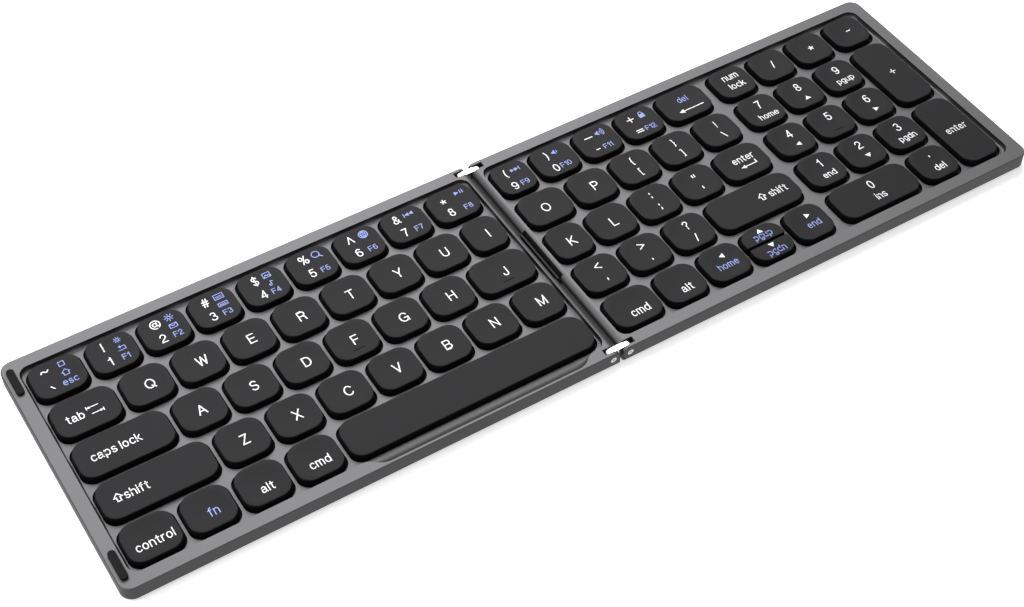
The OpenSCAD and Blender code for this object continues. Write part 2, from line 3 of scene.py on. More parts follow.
import bmesh
import bpy
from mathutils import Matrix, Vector


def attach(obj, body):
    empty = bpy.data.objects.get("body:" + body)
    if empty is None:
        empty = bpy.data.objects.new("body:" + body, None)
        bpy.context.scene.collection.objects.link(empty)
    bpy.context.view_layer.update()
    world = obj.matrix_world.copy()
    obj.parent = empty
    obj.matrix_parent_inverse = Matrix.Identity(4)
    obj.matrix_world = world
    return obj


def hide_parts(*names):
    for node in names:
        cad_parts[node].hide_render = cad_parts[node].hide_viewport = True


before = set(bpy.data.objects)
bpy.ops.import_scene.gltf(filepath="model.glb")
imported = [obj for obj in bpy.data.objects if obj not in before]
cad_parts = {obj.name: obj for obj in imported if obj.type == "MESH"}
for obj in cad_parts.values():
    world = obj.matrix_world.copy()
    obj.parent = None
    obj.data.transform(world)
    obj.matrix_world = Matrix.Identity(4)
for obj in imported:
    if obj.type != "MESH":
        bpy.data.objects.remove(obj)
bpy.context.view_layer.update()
mm = 0.001  # lengths below are in millimetres, angles in degrees
scene = bpy.context.scene


def toLinear(hexColour):
    values = [int(hexColour[i:i + 2], 16) / 255 for i in (1, 3, 5)]
    return tuple(v / 12.92 if v <= 0.04045 else ((v + 0.055) / 1.055) ** 2.4 for v in values) + (1.0,)


def addNode(tree, kind, inputs=None, **settings):
    node = tree.nodes.new(kind)
    for name, value in settings.items():
        setattr(node, name, value)
    for name, value in (inputs or {}).items():
        if isinstance(value, bpy.types.NodeSocket):
            tree.links.new(value, node.inputs[name])
        else:
            node.inputs[name].default_value = value
    return node


def emptyTree(owner):
    owner.use_nodes = True
    owner.node_tree.nodes.clear()
    return owner.node_tree


def mirrorRays(tree, path):
    # 1 for what a reflection or a clear material looks at, else 0
    return addNode(tree, "ShaderNodeMath",
                   {0: path.outputs["Is Glossy Ray"], 1: path.outputs["Is Transmission Ray"]},
                   operation="MAXIMUM").outputs[0]


print("stage: camera, light and floor")

studio = {
    "place": (-214.54, -328.90, 432.27),
    "turn": (41.092, -0.088, -31.707),
    "lens": 64.09,
    "sensor": 36,
    "nearest": 10,  # where the camera starts to see
    "sky": 0.23,  # strength of the white surroundings as light; the camera and reflections see 1
    "keyLight": ((140, 480, 640), (820, 560), 8.2),  # place, size and watts
    "sideLight": ((-430, 40, 330), (260, 260), 1.6),
    "floor": "#F1F1F0",
    "floorLift": 0.6,  # what the floor gains towards the camera, so that it reads as white
    "floorReach": 4000,
}

scene.view_settings.view_transform = "Standard"
cameraData = bpy.data.cameras.new("camera")
cameraData.lens = studio["lens"]
cameraData.sensor_width = studio["sensor"]
cameraData.clip_start = studio["nearest"] * mm
camera = bpy.data.objects.new("camera", cameraData)
camera.location = Vector(studio["place"]) * mm
camera.rotation_euler = [math.radians(a) for a in studio["turn"]]
scene.collection.objects.link(camera)
scene.camera = camera

for name in ("keyLight", "sideLight"):
    place, size, watts = studio[name]
    lamp = bpy.data.lights.new(name, "AREA")
    lamp.shape = "RECTANGLE"
    lamp.size, lamp.size_y = size[0] * mm, size[1] * mm
    lamp.energy = watts
    lampObject = bpy.data.objects.new(name, lamp)
    lampObject.location = Vector(place) * mm
    lampObject.rotation_euler = (-lampObject.location).to_track_quat("-Z", "Y").to_euler()
    scene.collection.objects.link(lampObject)

world = bpy.data.worlds.new("studio")
scene.world = world
sky = emptyTree(world)
path = addNode(sky, "ShaderNodeLightPath")
seen = addNode(sky, "ShaderNodeMath", {0: path.outputs["Is Camera Ray"], 1: mirrorRays(sky, path)},
               operation="MAXIMUM")
strength = addNode(sky, "ShaderNodeMapRange", {"Value": seen.outputs[0], "To Min": studio["sky"], "To Max": 1.0})
backdrop = addNode(sky, "ShaderNodeBackground", {"Color": (1, 1, 1, 1), "Strength": strength.outputs[0]})
addNode(sky, "ShaderNodeOutputWorld", {"Surface": backdrop.outputs[0]})

floorMaterial = bpy.data.materials.new("matt white paper")  # even and pale, keeps a soft shadow
floorTree = emptyTree(floorMaterial)
path = addNode(floorTree, "ShaderNodeLightPath")
lift = addNode(floorTree, "ShaderNodeMath", {0: path.outputs["Is Camera Ray"], 1: studio["floorLift"]},
               operation="MULTIPLY")
paper = addNode(floorTree, "ShaderNodeBsdfDiffuse", {"Color": toLinear(studio["floor"])})
glow = addNode(floorTree, "ShaderNodeEmission", {"Color": (1, 1, 1, 1), "Strength": lift.outputs[0]})
both = addNode(floorTree, "ShaderNodeAddShader", {0: paper.outputs[0], 1: glow.outputs[0]})
plain = addNode(floorTree, "ShaderNodeEmission", {"Color": (1, 1, 1, 1), "Strength": 1.0})
shown = addNode(floorTree, "ShaderNodeMixShader",
                {0: mirrorRays(floorTree, path), 1: both.outputs[0], 2: plain.outputs[0]})
addNode(floorTree, "ShaderNodeOutputMaterial", {"Surface": shown.outputs[0]})
reach = studio["floorReach"] * mm
floorMesh = bpy.data.meshes.new("floor")
floorMesh.from_pydata([(-reach, -reach, 0), (reach, -reach, 0), (reach, reach, 0), (-reach, reach, 0)], [],
                      [(0, 1, 2, 3)])
floorMesh.materials.append(floorMaterial)
floor = bpy.data.objects.new("floor", floorMesh)
scene.collection.objects.link(floor)

print("stage: materials")

mottle = {
    "cloudDetail": 3.0,
    "grainDetail": 2.0,
    "grainSpan": (0.3, 0.7),  # noise values that become the darkest and the lightest speck
    "grainShare": 0.45,  # how much of the colour's change is fine grain
}


def finish(name, dark, light, cloud, grain, rough, bump, metallic=0.0, sheen=0.5, paintedShadeByFacing=None):
    # Cloudy colour between two tones, a fine grain in roughness and bump, all on object coordinates.
    # cloud and grain are sizes in millimetres, rough a pair, bump a height in millimetres, sheen the shader's specular
    # level, and the last argument a colour and roughness for faces turned away from the top, with which shade is
    # painted by the way a face points.
    material = bpy.data.materials.new(name)
    tree = emptyTree(material)
    place = addNode(tree, "ShaderNodeTexCoord")
    cloudNoise, grainNoise = [
        addNode(tree, "ShaderNodeTexNoise",
                {"Vector": place.outputs["Object"], "Scale": 1 / (size * mm), "Detail": detail}).outputs["Fac"]
        for size, detail in ((cloud, mottle["cloudDetail"]), (grain, mottle["grainDetail"]))]
    speck = addNode(tree, "ShaderNodeMapRange",
                    {"Value": grainNoise, "From Min": mottle["grainSpan"][0], "From Max": mottle["grainSpan"][1]})
    blend = addNode(tree, "ShaderNodeMix", {"Factor": mottle["grainShare"], 2: cloudNoise, 3: speck.outputs[0]},
                    data_type="FLOAT")
    colour = addNode(tree, "ShaderNodeMix", {"Factor": blend.outputs[0], 6: toLinear(dark), 7: toLinear(light)},
                     data_type="RGBA").outputs[2]
    roughness = addNode(tree, "ShaderNodeMapRange",
                        {"Value": grainNoise, "To Min": rough[0], "To Max": rough[1]}).outputs[0]
    # Faces turned away from the top take another colour and roughness: this switch paints shade by the way a face
    # points
    if paintedShadeByFacing:
        split = addNode(tree, "ShaderNodeSeparateXYZ", {0: place.outputs["Normal"]})
        facing = addNode(tree, "ShaderNodeMapRange",
                         {"Value": split.outputs["Z"], "From Min": paintedShadeByFacing["from"], "From Max": paintedShadeByFacing["to"]}).outputs[0]
        colour = addNode(tree, "ShaderNodeMix", {"Factor": facing, 6: toLinear(paintedShadeByFacing["colour"]), 7: colour},
                         data_type="RGBA").outputs[2]
        roughness = addNode(tree, "ShaderNodeMix", {"Factor": facing, 2: paintedShadeByFacing["rough"], 3: roughness},
                            data_type="FLOAT").outputs[0]
    relief = addNode(tree, "ShaderNodeBump", {"Height": grainNoise, "Distance": bump * mm, "Strength": 1.0})
    shader = addNode(tree, "ShaderNodeBsdfPrincipled",
                     {"Base Color": colour, "Roughness": roughness, "Normal": relief.outputs[0],
                      "Metallic": metallic, "Specular IOR Level": sheen})
    addNode(tree, "ShaderNodeOutputMaterial", {"Surface": shader.outputs[0]})
    return material


# Bead-blasted, anodised aluminium: a soft grey sheen with a fine sparkle and no clear reflections
trayAluminium = finish("bead-blasted anodised aluminium", "#4D4D4E", "#545455", 18, 0.45, (0.44, 0.54), 0.012, 1.0)
# The cover is the same metal, blasted a little finer
coverAluminium = finish("anodised aluminium sheet", "#464647", "#4C4C4D", 24, 0.35, (0.38, 0.5), 0.008, 1.0)
# Black ABS with a spark-eroded top, matt and slightly grey, over smooth skirts; the skirts' near-black colour is
# painted shade, darker than the top because they face away from the light
capPlastic = finish("spark-eroded black ABS", "#151517", "#1B1B1D", 9, 0.35, (0.46, 0.56), 0.006, sheen=0.1,
                    paintedShadeByFacing={"from": 0.8, "to": 0.99, "colour": "#060607", "rough": 0.5})
# Pad-printed inks: flat and even, with a faint mottle where the ink is thin
whiteInk = finish("white pad-printing ink", "#EEEFF0", "#F8F8F9", 2.5, 0.3, (0.5, 0.6), 0.002)
blueInk = finish("blue pad-printing ink", "#7C8BD2", "#92A3E3", 2.5, 0.3, (0.5, 0.6), 0.002)
# Polished stainless steel: bright, with faint drawing marks in the gloss
linkSteel = finish("polished stainless steel", "#D4D6D8", "#E6E7E9", 6, 0.25, (0.12, 0.2), 0.003, 1.0)
# Black silicone rubber: dull, with a dusty bloom
padRubber = finish("black silicone rubber", "#0A0A0B", "#121213", 3, 0.25, (0.62, 0.78), 0.01, sheen=0.1)
# Woven polyamide over the cable: dark, with a fine rib
sheathNylon = finish("black polyamide sleeve", "#0A0A0B", "#141415", 2, 0.3, (0.45, 0.6), 0.02, sheen=0.15)
# Black oxide on the screws: dark metal with a thin worn sheen
screwOxide = finish("black oxide steel", "#242527", "#3A3B3D", 1.5, 0.2, (0.35, 0.5), 0.006, 1.0)
# Cold-rolled sheet under the keys
plateSteel = finish("cold-rolled sheet steel", "#8E9092", "#A2A4A6", 10, 0.3, (0.3, 0.42), 0.004, 1.0)
# Bright nickel plating on the magnets
magnetNickel = finish("nickel plating", "#B9B7B0", "#CFCDC6", 4, 0.3, (0.16, 0.26), 0.002, 1.0)
# Milky polyester film of the membrane; its upper side is coloured black as painted shade in the gaps round the keys,
# while its sides and underside keep the film's pale colour
membraneFilm = finish("polyester film with painted shade on top", "#0C0D0C", "#131413", 12, 0.4, (0.45, 0.55), 0.002, sheen=0.1,
                      paintedShadeByFacing={"from": 0.2, "to": 0.9, "colour": "#B2BEB0", "rough": 0.3})
# Clear-white silicone domes
domeSilicone = finish("translucent silicone", "#C9C9C4", "#DEDEDA", 3, 0.3, (0.4, 0.55), 0.003)
# Moulded acetal scissors: waxy white
scissorAcetal = finish("moulded acetal", "#DADAD6", "#EAEAE7", 5, 0.3, (0.35, 0.45), 0.002)
# Aluminium-laminated pouch of the cell
cellFoil = finish("aluminium laminate pouch", "#A9ADB1", "#C2C5C8", 7, 0.5, (0.28, 0.4), 0.02, 1.0)
# Solder-masked glass epoxy
boardEpoxy = finish("green solder mask", "#173A28", "#22533A", 6, 0.3, (0.25, 0.35), 0.003)
# Drawn steel shell of the charging socket
portSteel = finish("drawn stainless steel", "#A8AAAC", "#BEC0C2", 3, 0.2, (0.22, 0.34), 0.003, 1.0)

looks = {
    "left_bumpers": padRubber, "cable_sheath": sheathNylon, "front_hinge_link": linkSteel,
    "rear_hinge_link": linkSteel, "battery": cellFoil, "main_board": boardEpoxy, "charging_port": portSteel,
}
for name, material in (("case", trayAluminium), ("bottom_cover", coverAluminium), ("feet", padRubber),
                       ("hinge_pins", linkSteel), ("screws", screwOxide), ("key_plate", plateSteel),
                       ("magnets", magnetNickel), ("membrane", membraneFilm), ("domes", domeSilicone),
                       ("scissors", scissorAcetal)):
    looks["left_" + name] = looks["right_" + name] = material
for node, material in looks.items():
    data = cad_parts[node].data
    data.materials.clear()
    data.materials.append(material)

print("stage: places of the keys")

# Where every key is. Rows run from the rear to the front; each starts with a key of its own width,
# then one pitch follows another and the last key fills the row.
layout = {
    "rows": 5,
    "colPitch": 17.0,  # of the letter keys
    "rowPitch": 16.8,
    "gapX": 2.3,
    "gapY": 2.8,
    "fieldEnd": 159.0,  # outer end of the keys on the left
    "fieldDeep": 42.0,  # half the keys' depth
    "hingeMargin": 3.2,
    "mainEnd": 89.35,  # where the main keys of the right half end
    "padStart": 91.5,
    "padEnd": 158.7,
    "padColumns": 4,
    "padGapX": 2.7,
    # widths of each row's first key, then the names in each row
    "leftFirst": (18.5, 22.2, 31.7, 37.4, 18.5),
    "rightFirst": (15.2, 18.95, 15.45, 17.2, 19.0),
    "leftRows": ("esc 1 2 3 4 5 6 7 8", "tab q w e r t y u i", "caps a s d f g h j",
                 "shiftLeft z x c v b n m", "control fn altLeft cmdLeft space"),
    "rightRows": ("9 0 minus equal delete", "o p bracketLeft bracketRight backslash",
                  "k l semicolon quote enter", "comma dot slash shiftRight", "cmdRight altRight left up right"),
    "padRows": ("num divide times subtract", "pad7 pad8 pad9 add", "pad4 pad5 pad6 add",
                "pad1 pad2 pad3 padEnter", "pad0 pad0 decimal padEnter"),  # a long key is named in each cell
    "split": 1.0,  # gap between the two half-height arrow keys
}


def rowTop(row):
    return max(-layout["fieldDeep"], min(layout["fieldDeep"], (layout["rows"] / 2 - row) * layout["rowPitch"]))


def faceOf(x0, x1, row, rows=1, gap=layout["gapX"]):
    return (x0 + gap / 2, x1 - gap / 2, rowTop(row + rows) + layout["gapY"] / 2, rowTop(row) - layout["gapY"] / 2)


faces = {}
margin = layout["hingeMargin"]
for names, first, start, end in ((layout["leftRows"], layout["leftFirst"], -layout["fieldEnd"], -margin),
                                 (layout["rightRows"], layout["rightFirst"], margin, layout["mainEnd"])):
    for row in range(layout["rows"]):
        rowNames = names[row].split()
        edges = [start] + [start + first[row] + i * layout["colPitch"] for i in range(len(rowNames) - 1)] + [end]
        for i, name in enumerate(rowNames):
            faces[name] = faceOf(edges[i], edges[i + 1], row)
padPitch = (layout["padEnd"] - layout["padStart"]) / layout["padColumns"]
padCells = {}
for row, names in enumerate(layout["padRows"]):
    for column, name in enumerate(names.split()):
        padCells.setdefault(name, []).append((column, row))
for name, cells in padCells.items():
    (column, row), (lastColumn, lastRow) = cells[0], cells[-1]
    x0 = layout["padStart"] + column * padPitch
    faces[name] = faceOf(x0, x0 + (lastColumn - column + 1) * padPitch, row, lastRow - row + 1, layout["padGapX"])
upDown = faces["up"]
middle = (upDown[2] + upDown[3]) / 2
faces["up"] = (upDown[0], upDown[1], middle + layout["split"] / 2, upDown[3])
faces["down"] = (upDown[0], upDown[1], upDown[2], middle - layout["split"] / 2)

capNodes = {"space_bar": ["space"]}
capNodes.update({"key_" + c: [c] for c in "qwertyuiasdfghjzxcvbnmopkl"})
capNodes.update({
    "left_number_keys": "esc 1 2 3 4 5 6 7 8".split(),
    "left_modifier_keys": "tab caps shiftLeft control fn altLeft cmdLeft".split(),
    "right_number_keys": "9 0 minus equal delete".split(),
    "right_side_keys": ("bracketLeft bracketRight backslash semicolon quote enter comma dot slash "
                        "shiftRight cmdRight altRight").split(),
    "arrow_keys": "left up down right".split(),
    "number_pad_keys": list(padCells),
})

cap = {
    "wide": 14.7,
    "deep": 14.0,
    "corner": 4.4,
    "leastCorner": 0.35,
    "top": 6.4,
    "base": 3.95,
    "flare": 0.5,  # how far the skirt stands out from the top face
    "foot": 0.02,  # upright rim below the skirt's slope
    "shoulder": 0.15,
    "round": 0.35,  # radius of the edge between skirt and top
    "roundSteps": 7,
    "wall": 1.0,
    "ceiling": 5.2,
    "dish": 0.25,
    "dishRadius": 6.4,
    "dishRings": (1.0, 0.96, 0.85, 0.7, 0.5, 0.25),
    "dishedUpTo": 20.0,  # a longer key is flat
    "slack": 0.01,
    "barLength": 3.6,
    "barRadius": 0.3,
    "barSteps": 4,  # rings from its middle to its top
    "barSides": 12,
    "barSunk": 0.28,
    "barForward": 4.2,
}
tiny = 1e-6  # what is less counts as nought


def bow(cx, cy, rx, ry, start=0, end=360, steps=None):
    # An ellipse or part of one as points, angles in degrees
    steps = steps or max(3, round(abs(end - start) / 20))
    angles = [math.radians(start + (end - start) * i / steps) for i in range(steps + 1)]
    return [(cx + rx * math.cos(a), cy + ry * math.sin(a)) for a in angles]


def outline(x0, x1, y0, y1, radii, arcSteps=8, sideSteps=6):
    # Closed outline, anticlockwise from the right end of the front edge; radii: rear right, rear left,
    # front left, front right
    corners = ((x1, y1, 0), (x0, y1, 90), (x0, y0, 180), (x1, y0, 270))
    arcs = []
    for (x, y, start), r in zip(corners, radii):
        cx = x - math.copysign(r, x - (x0 + x1) / 2)
        cy = y - math.copysign(r, y - (y0 + y1) / 2)
        arcs.append(bow(cx, cy, r, r, start, start + 90, arcSteps))
    points = []
    for i, arc in enumerate(arcs):
        points += arc
        (ax, ay), (bx, by) = arc[-1], arcs[(i + 1) % 4][0]
        points += [(ax + (bx - ax) * s / sideSteps, ay + (by - ay) * s / sideSteps) for s in range(1, sideSteps)]
    return points


def capRings(face, radii, dished, straightSide=None):
    # Rings of one keycap from the cavity's ceiling round the skirt and over the top to the middle of the face.
    # straightSide is the side, front or rear, that is cut straight down next to its twin.
    x0, x1, y0, y1 = face
    cx, cy = (x0 + x1) / 2, (y0 + y1) / 2

    def ring(out, z, cavity=False):
        front = rear = out
        if straightSide == "front":
            front = min(out, 0) if not cavity else out - cap["flare"]
        if straightSide == "rear":
            rear = min(out, 0) if not cavity else out - cap["flare"]
        fitted = [max(cap["leastCorner"], r + out) for r in radii]
        return [(x, y, z) for x, y in outline(x0 - out, x1 + out, y0 - front, y1 + rear, fitted)]

    inner = cap["flare"] - cap["wall"]
    rings = [ring(inner, cap["ceiling"], True), ring(inner, cap["base"], True),
             ring(cap["flare"], cap["base"]), ring(cap["flare"], cap["base"] + cap["foot"])]
    r = cap["round"]
    for i in range(cap["roundSteps"] + 1):
        a = math.radians(90 * i / cap["roundSteps"])
        rings.append(ring(cap["shoulder"] - r + r * math.cos(a), cap["top"] - r + r * math.sin(a)))
    if dished:
        last = rings[-1]
        rounds = []
        for scale in cap["dishRings"]:
            radius = cap["dishRadius"] * scale
            z = cap["top"] - cap["dish"] * (1 - scale * scale)
            circle = []
            for x, y, _ in last:
                length = math.hypot(x - cx, y - cy)
                circle.append((cx + (x - cx) / length * radius, cy + (y - cy) / length * radius, z))
            rounds.append(circle)
        half = [((a[0] + b[0]) / 2, (a[1] + b[1]) / 2, cap["top"]) for a, b in zip(last, rounds[0])]
        rings += [half] + rounds
    return rings


def skin(rings, lowPole=None, highPole=None):
    # A closed mesh over rings of points; each end is one face, or a fan where it has a pole
    mesh = bmesh.new()
    rows = [[mesh.verts.new(Vector(p) * mm) for p in ring] for ring in rings]
    after = {i: (i + 1) % len(rows[0]) for i in range(len(rows[0]))}
    for lower, upper in zip(rows, rows[1:]):
        for i, j in after.items():
            mesh.faces.new((lower[i], lower[j], upper[j], upper[i]))
    for row, pole, way in ((rows[0], lowPole, -1), (rows[-1], highPole, 1)):
        if pole:
            tip = mesh.verts.new(Vector(pole) * mm)
            for i, j in after.items():
                mesh.faces.new((row[i], row[j], tip)[::way])
        else:
            mesh.faces.new(row[::way])
    return mesh


def buildCap(face, radii, dished, straightSide=None):
    x0, x1, y0, y1 = face
    pole = ((x0 + x1) / 2, (y0 + y1) / 2, cap["top"] - cap["dish"])
    return skin(capRings(face, radii, dished, straightSide), highPole=pole if dished else None)


def homingBar(x, y):
    # A ball pulled apart at its middle
    r, half, z = cap["barRadius"], cap["barLength"] / 2, cap["top"] - cap["barSunk"]
    rings = []
    for level in range(1 - cap["barSteps"], cap["barSteps"]):
        a = math.radians(90 * level / cap["barSteps"])
        circle = bow(0, 0, r * math.cos(a), r * math.cos(a), steps=cap["barSides"])[:-1]
        rings.append([(x + px + (math.copysign(half, px) if abs(px) > tiny else 0), y + py, z + r * math.sin(a))
                      for px, py in circle])
    return skin(rings, (x, y, z - r), (x, y, z + r))


def meshFrom(bm, name):
    data = bpy.data.meshes.new(name)
    bm.to_mesh(data)
    bm.free()
    return data


def smooth(data, angle=38):
    data.shade_smooth()
    data.set_sharp_from_angle(angle=math.radians(angle))


def newTree(name, **inputs):
    # A Geometry Nodes group, what its input node gives, and the identifiers of its named inputs
    tree = bpy.data.node_groups.new(name, "GeometryNodeTree")
    tree.interface.new_socket("Geometry", in_out="INPUT", socket_type="NodeSocketGeometry")
    sockets = {label: tree.interface.new_socket(label, in_out="INPUT", socket_type=kind).identifier
               for label, kind in inputs.items()}
    tree.interface.new_socket("Geometry", in_out="OUTPUT", socket_type="NodeSocketGeometry")
    return tree, addNode(tree, "NodeGroupInput").outputs, sockets


def closeTree(tree, geometry, material):
    # Ends a tree with plain geometry in one finish
    real = addNode(tree, "GeometryNodeRealizeInstances", {"Geometry": geometry})
    coated = addNode(tree, "GeometryNodeSetMaterial", {"Geometry": real.outputs[0], "Material": material})
    addNode(tree, "NodeGroupOutput", {"Geometry": coated.outputs[0]})


def grown(name, points, edges, marks, tree, sockets, **values):
    # Runs a tree on points in millimetres and gives the result as a plain piece. marks are the points' own
    # values, as name: (kind, values); they and the unit shapes' marks are taken off the result.
    data = bpy.data.meshes.new(name + "Points")
    data.from_pydata([(x * mm, y * mm, z * mm) for x, y, z in points], edges, [])
    for label, (kind, numbers) in marks.items():
        mark = data.attributes.new(label, kind, "POINT")
        for item, number in zip(mark.data, numbers):
            setattr(item, "value" if kind == "FLOAT" else "vector", number)
    carrier = bpy.data.objects.new(name + "Points", data)
    modifier = carrier.modifiers.new(name, "NODES")
    modifier.node_group = tree
    for label, value in values.items():
        modifier[sockets[label]] = value
    scene.collection.objects.link(carrier)
    bpy.context.view_layer.update()
    data = bpy.data.meshes.new_from_object(carrier.evaluated_get(bpy.context.evaluated_depsgraph_get()))
    data.name = name
    for label in ("pull", "squeeze", "stretch", "swell"):
        if label in data.attributes:
            data.attributes.remove(data.attributes[label])
    bpy.data.objects.remove(carrier)
    piece = bpy.data.objects.new(name, data)
    scene.collection.objects.link(piece)
    return piece


# One standard keycap, placed on points, pulled apart at its middle for a wider key and squeezed for a narrower one
standard = (-cap["wide"] / 2, cap["wide"] / 2, -cap["deep"] / 2, cap["deep"] / 2)
unitData = meshFrom(buildCap(standard, [cap["corner"]] * 4, True), "unitCap")
pull = unitData.attributes.new("pull", "FLOAT_VECTOR", "POINT")
squeeze = unitData.attributes.new("squeeze", "FLOAT_VECTOR", "POINT")
for i, vertex in enumerate(unitData.vertices):
    x, y, z = vertex.co
    inDish = (math.hypot(x, y) < (cap["dishRadius"] - cap["slack"]) * mm
              and z > (cap["top"] - cap["dish"] - cap["slack"]) * mm)
    pull.data[i].vector = ((x > tiny) * 0.5 - (x < -tiny) * 0.5, (y > tiny) * 0.5 - (y < -tiny) * 0.5,
                           cap["top"] * mm - z if inDish else 0)
    squeeze.data[i].vector = (x / (cap["wide"] * mm), y / (cap["deep"] * mm), 0)
unitCap = bpy.data.objects.new("unitCap", unitData)

capTree, given, capSockets = newTree("keycapsOnPoints", keycap="NodeSocketObject", finish="NodeSocketMaterial")
unit = addNode(capTree, "GeometryNodeObjectInfo", {"Object": given["keycap"]})
placed = addNode(capTree, "GeometryNodeInstanceOnPoints",
                 {"Points": given["Geometry"], "Instance": unit.outputs["Geometry"]})
real = addNode(capTree, "GeometryNodeRealizeInstances", {"Geometry": placed.outputs[0]})
pullOf, stretchOf, squeezeOf = [
    addNode(capTree, "GeometryNodeInputNamedAttribute", {"Name": name}, data_type="FLOAT_VECTOR").outputs["Attribute"]
    for name in ("pull", "stretch", "squeeze")]
wider = addNode(capTree, "ShaderNodeVectorMath", {0: stretchOf}, operation="MAXIMUM")
narrower = addNode(capTree, "ShaderNodeVectorMath", {0: stretchOf}, operation="MINIMUM")
apart = addNode(capTree, "ShaderNodeVectorMath", {0: pullOf, 1: wider.outputs[0]}, operation="MULTIPLY")
offset = addNode(capTree, "ShaderNodeVectorMath", {0: squeezeOf, 1: narrower.outputs[0], 2: apart.outputs[0]},
                 operation="MULTIPLY_ADD")
shaped = addNode(capTree, "GeometryNodeSetPosition", {"Geometry": real.outputs[0], "Offset": offset.outputs[0]})
closeTree(capTree, shaped.outputs[0], given["finish"])


def joined(piece, extras):
    # Adds further bmeshes to a piece's mesh, in its first material
    mesh = bmesh.new()
    mesh.from_mesh(piece.data)
    for extra in extras:
        spare = meshFrom(extra, "spare")
        mesh.from_mesh(spare)
        bpy.data.meshes.remove(spare)
    mesh.to_mesh(piece.data)
    mesh.free()


def isDished(face):
    return max(face[1] - face[0], face[3] - face[2]) < cap["dishedUpTo"]


print("stage: rounded feet of the recess")

cove = {
    "wide": 0.9,  # how far the rounding of the recess's foot reaches over the deck
    "high": 1.68,
    "sunk": 0.03,  # into deck and wall
    "hingeEnd": 2.65,
    "farEnd": 159.6,
    "wall": 42.4,
    "corner": 3.5,
    "deck": 4.3,
    "scoop": (-88.0, -6.6),  # ends of the thumb relief
    "scoopWall": 45.9,
    "scoopRun": 8.5,  # length of its double bend
    "scoopWide": 3.75,
    "scoopHigh": 1.75,
    "scoopSteepest": 46,
    "scoopLeast": 0.25,  # depth that sets the section's size where the relief starts
    "steps": 10,  # of each arc
    "smoothUpTo": 25,  # angle between faces
}

# A rounded foot swept along a wall. The path's points carry "swell", the share of the full section.
coveTree, given, coveSockets = newTree("coveAlongWall", section="NodeSocketObject", wide="NodeSocketFloat",
                                       high="NodeSocketFloat", finish="NodeSocketMaterial")
wallLine = addNode(coveTree, "GeometryNodeMeshToCurve", {"Mesh": given["Geometry"]})
upright = addNode(coveTree, "GeometryNodeSetCurveNormal", {"Curve": wallLine.outputs[0]}, mode="Z_UP")
section = addNode(coveTree, "GeometryNodeObjectInfo", {"Object": given["section"]})
sectionLine = addNode(coveTree, "GeometryNodeMeshToCurve", {"Mesh": section.outputs["Geometry"]})
measure = addNode(coveTree, "ShaderNodeCombineXYZ", {"X": given["wide"], "Y": given["high"], "Z": 1.0})
sized = addNode(coveTree, "GeometryNodeTransform", {"Geometry": sectionLine.outputs[0], "Scale": measure.outputs[0]})
swellOf = addNode(coveTree, "GeometryNodeInputNamedAttribute", {"Name": "swell"}, data_type="FLOAT")
swept = addNode(coveTree, "GeometryNodeCurveToMesh",
                {"Curve": upright.outputs[0], "Profile Curve": sized.outputs[0],
                 "Scale": swellOf.outputs["Attribute"], "Fill Caps": True})
closeTree(coveTree, swept.outputs[0], given["finish"])


def arcOf(cx, cy, r, start, end):
    return bow(cx, cy, r, r, start, end, cove["steps"])


def coveSection(wide, high, steepest):
    # Hollow arc that ends at its steepest angle, in shares of its width and height, its corner sunk into
    # deck and wall
    deckSide, wallSide = cove["sunk"] / high, cove["sunk"] / wide
    angles = [math.radians(steepest * i / cove["steps"]) for i in range(cove["steps"] + 1)]
    inner = [(math.sin(a) / math.sin(angles[-1]) - 1, (math.cos(a) - 1) / (1 - math.cos(angles[-1])))
             for a in angles]
    points = [(wallSide, deckSide), (-1, deckSide)] + inner + [(wallSide, -1)]
    data = bpy.data.meshes.new("coveSection")
    data.from_pydata([(x, y, 0) for x, y in points], [(i, (i + 1) % len(points)) for i in range(len(points))], [])
    return bpy.data.objects.new("coveSection", data)


def coveAlong(points, body, name, wide, high, closed=False, steepest=90, swells=None):
    # One foot along a path round the deck, the wall on the path's right
    edges = [(i, (i + 1) % len(points)) for i in range(len(points) if closed else len(points) - 1)]
    sectionObject = coveSection(wide, high, steepest)
    piece = grown(name, [(x, y, cove["deck"]) for x, y in points], edges,
                  {"swell": ("FLOAT", swells or [1] * len(points))}, coveTree, coveSockets,
                  section=sectionObject, wide=wide * mm, high=high * mm, finish=trayAluminium)
    bpy.data.objects.remove(sectionObject)
    smooth(piece.data, cove["smoothUpTo"])
    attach(piece, body)


def recessOutline(x0, x1):
    y, r = cove["wall"], cove["corner"]
    return (arcOf(x1 - r, -y + r, r, -90, 0) + arcOf(x1 - r, y - r, r, 0, 90)
            + arcOf(x0 + r, y - r, r, 90, 180) + arcOf(x0 + r, -y + r, r, 180, 270))


coveAlong(recessOutline(cove["hingeEnd"], cove["farEnd"]), "right_half", "rightRecessFoot", cove["wide"], cove["high"],
          closed=True)
scoopLeft, scoopRight = cove["scoop"]
wall, run = cove["wall"], cove["scoopRun"]
leftPath = [(scoopRight, -wall)] + recessOutline(-cove["farEnd"], -cove["hingeEnd"]) + [(scoopLeft, -wall)]
coveAlong(leftPath, "left_half", "leftRecessFoot", cove["wide"], cove["high"])
fall = cove["scoopWall"] - wall
r = (run ** 2 + fall ** 2) / (4 * fall)
bend = math.degrees(math.asin(run / (2 * r)))
scoopPath = (arcOf(scoopLeft, -wall - r, r, 90, 90 - bend)
             + arcOf(scoopLeft + run, r - cove["scoopWall"], r, 270 - bend, 270)[1:]
             + arcOf(scoopRight - run, r - cove["scoopWall"], r, 270, 270 + bend)
             + arcOf(scoopRight, -wall - r, r, 90 + bend, 90)[1:])
swells = [(cove["scoopLeast"] - wall - y) / (cove["scoopLeast"] + fall) for _, y in scoopPath]
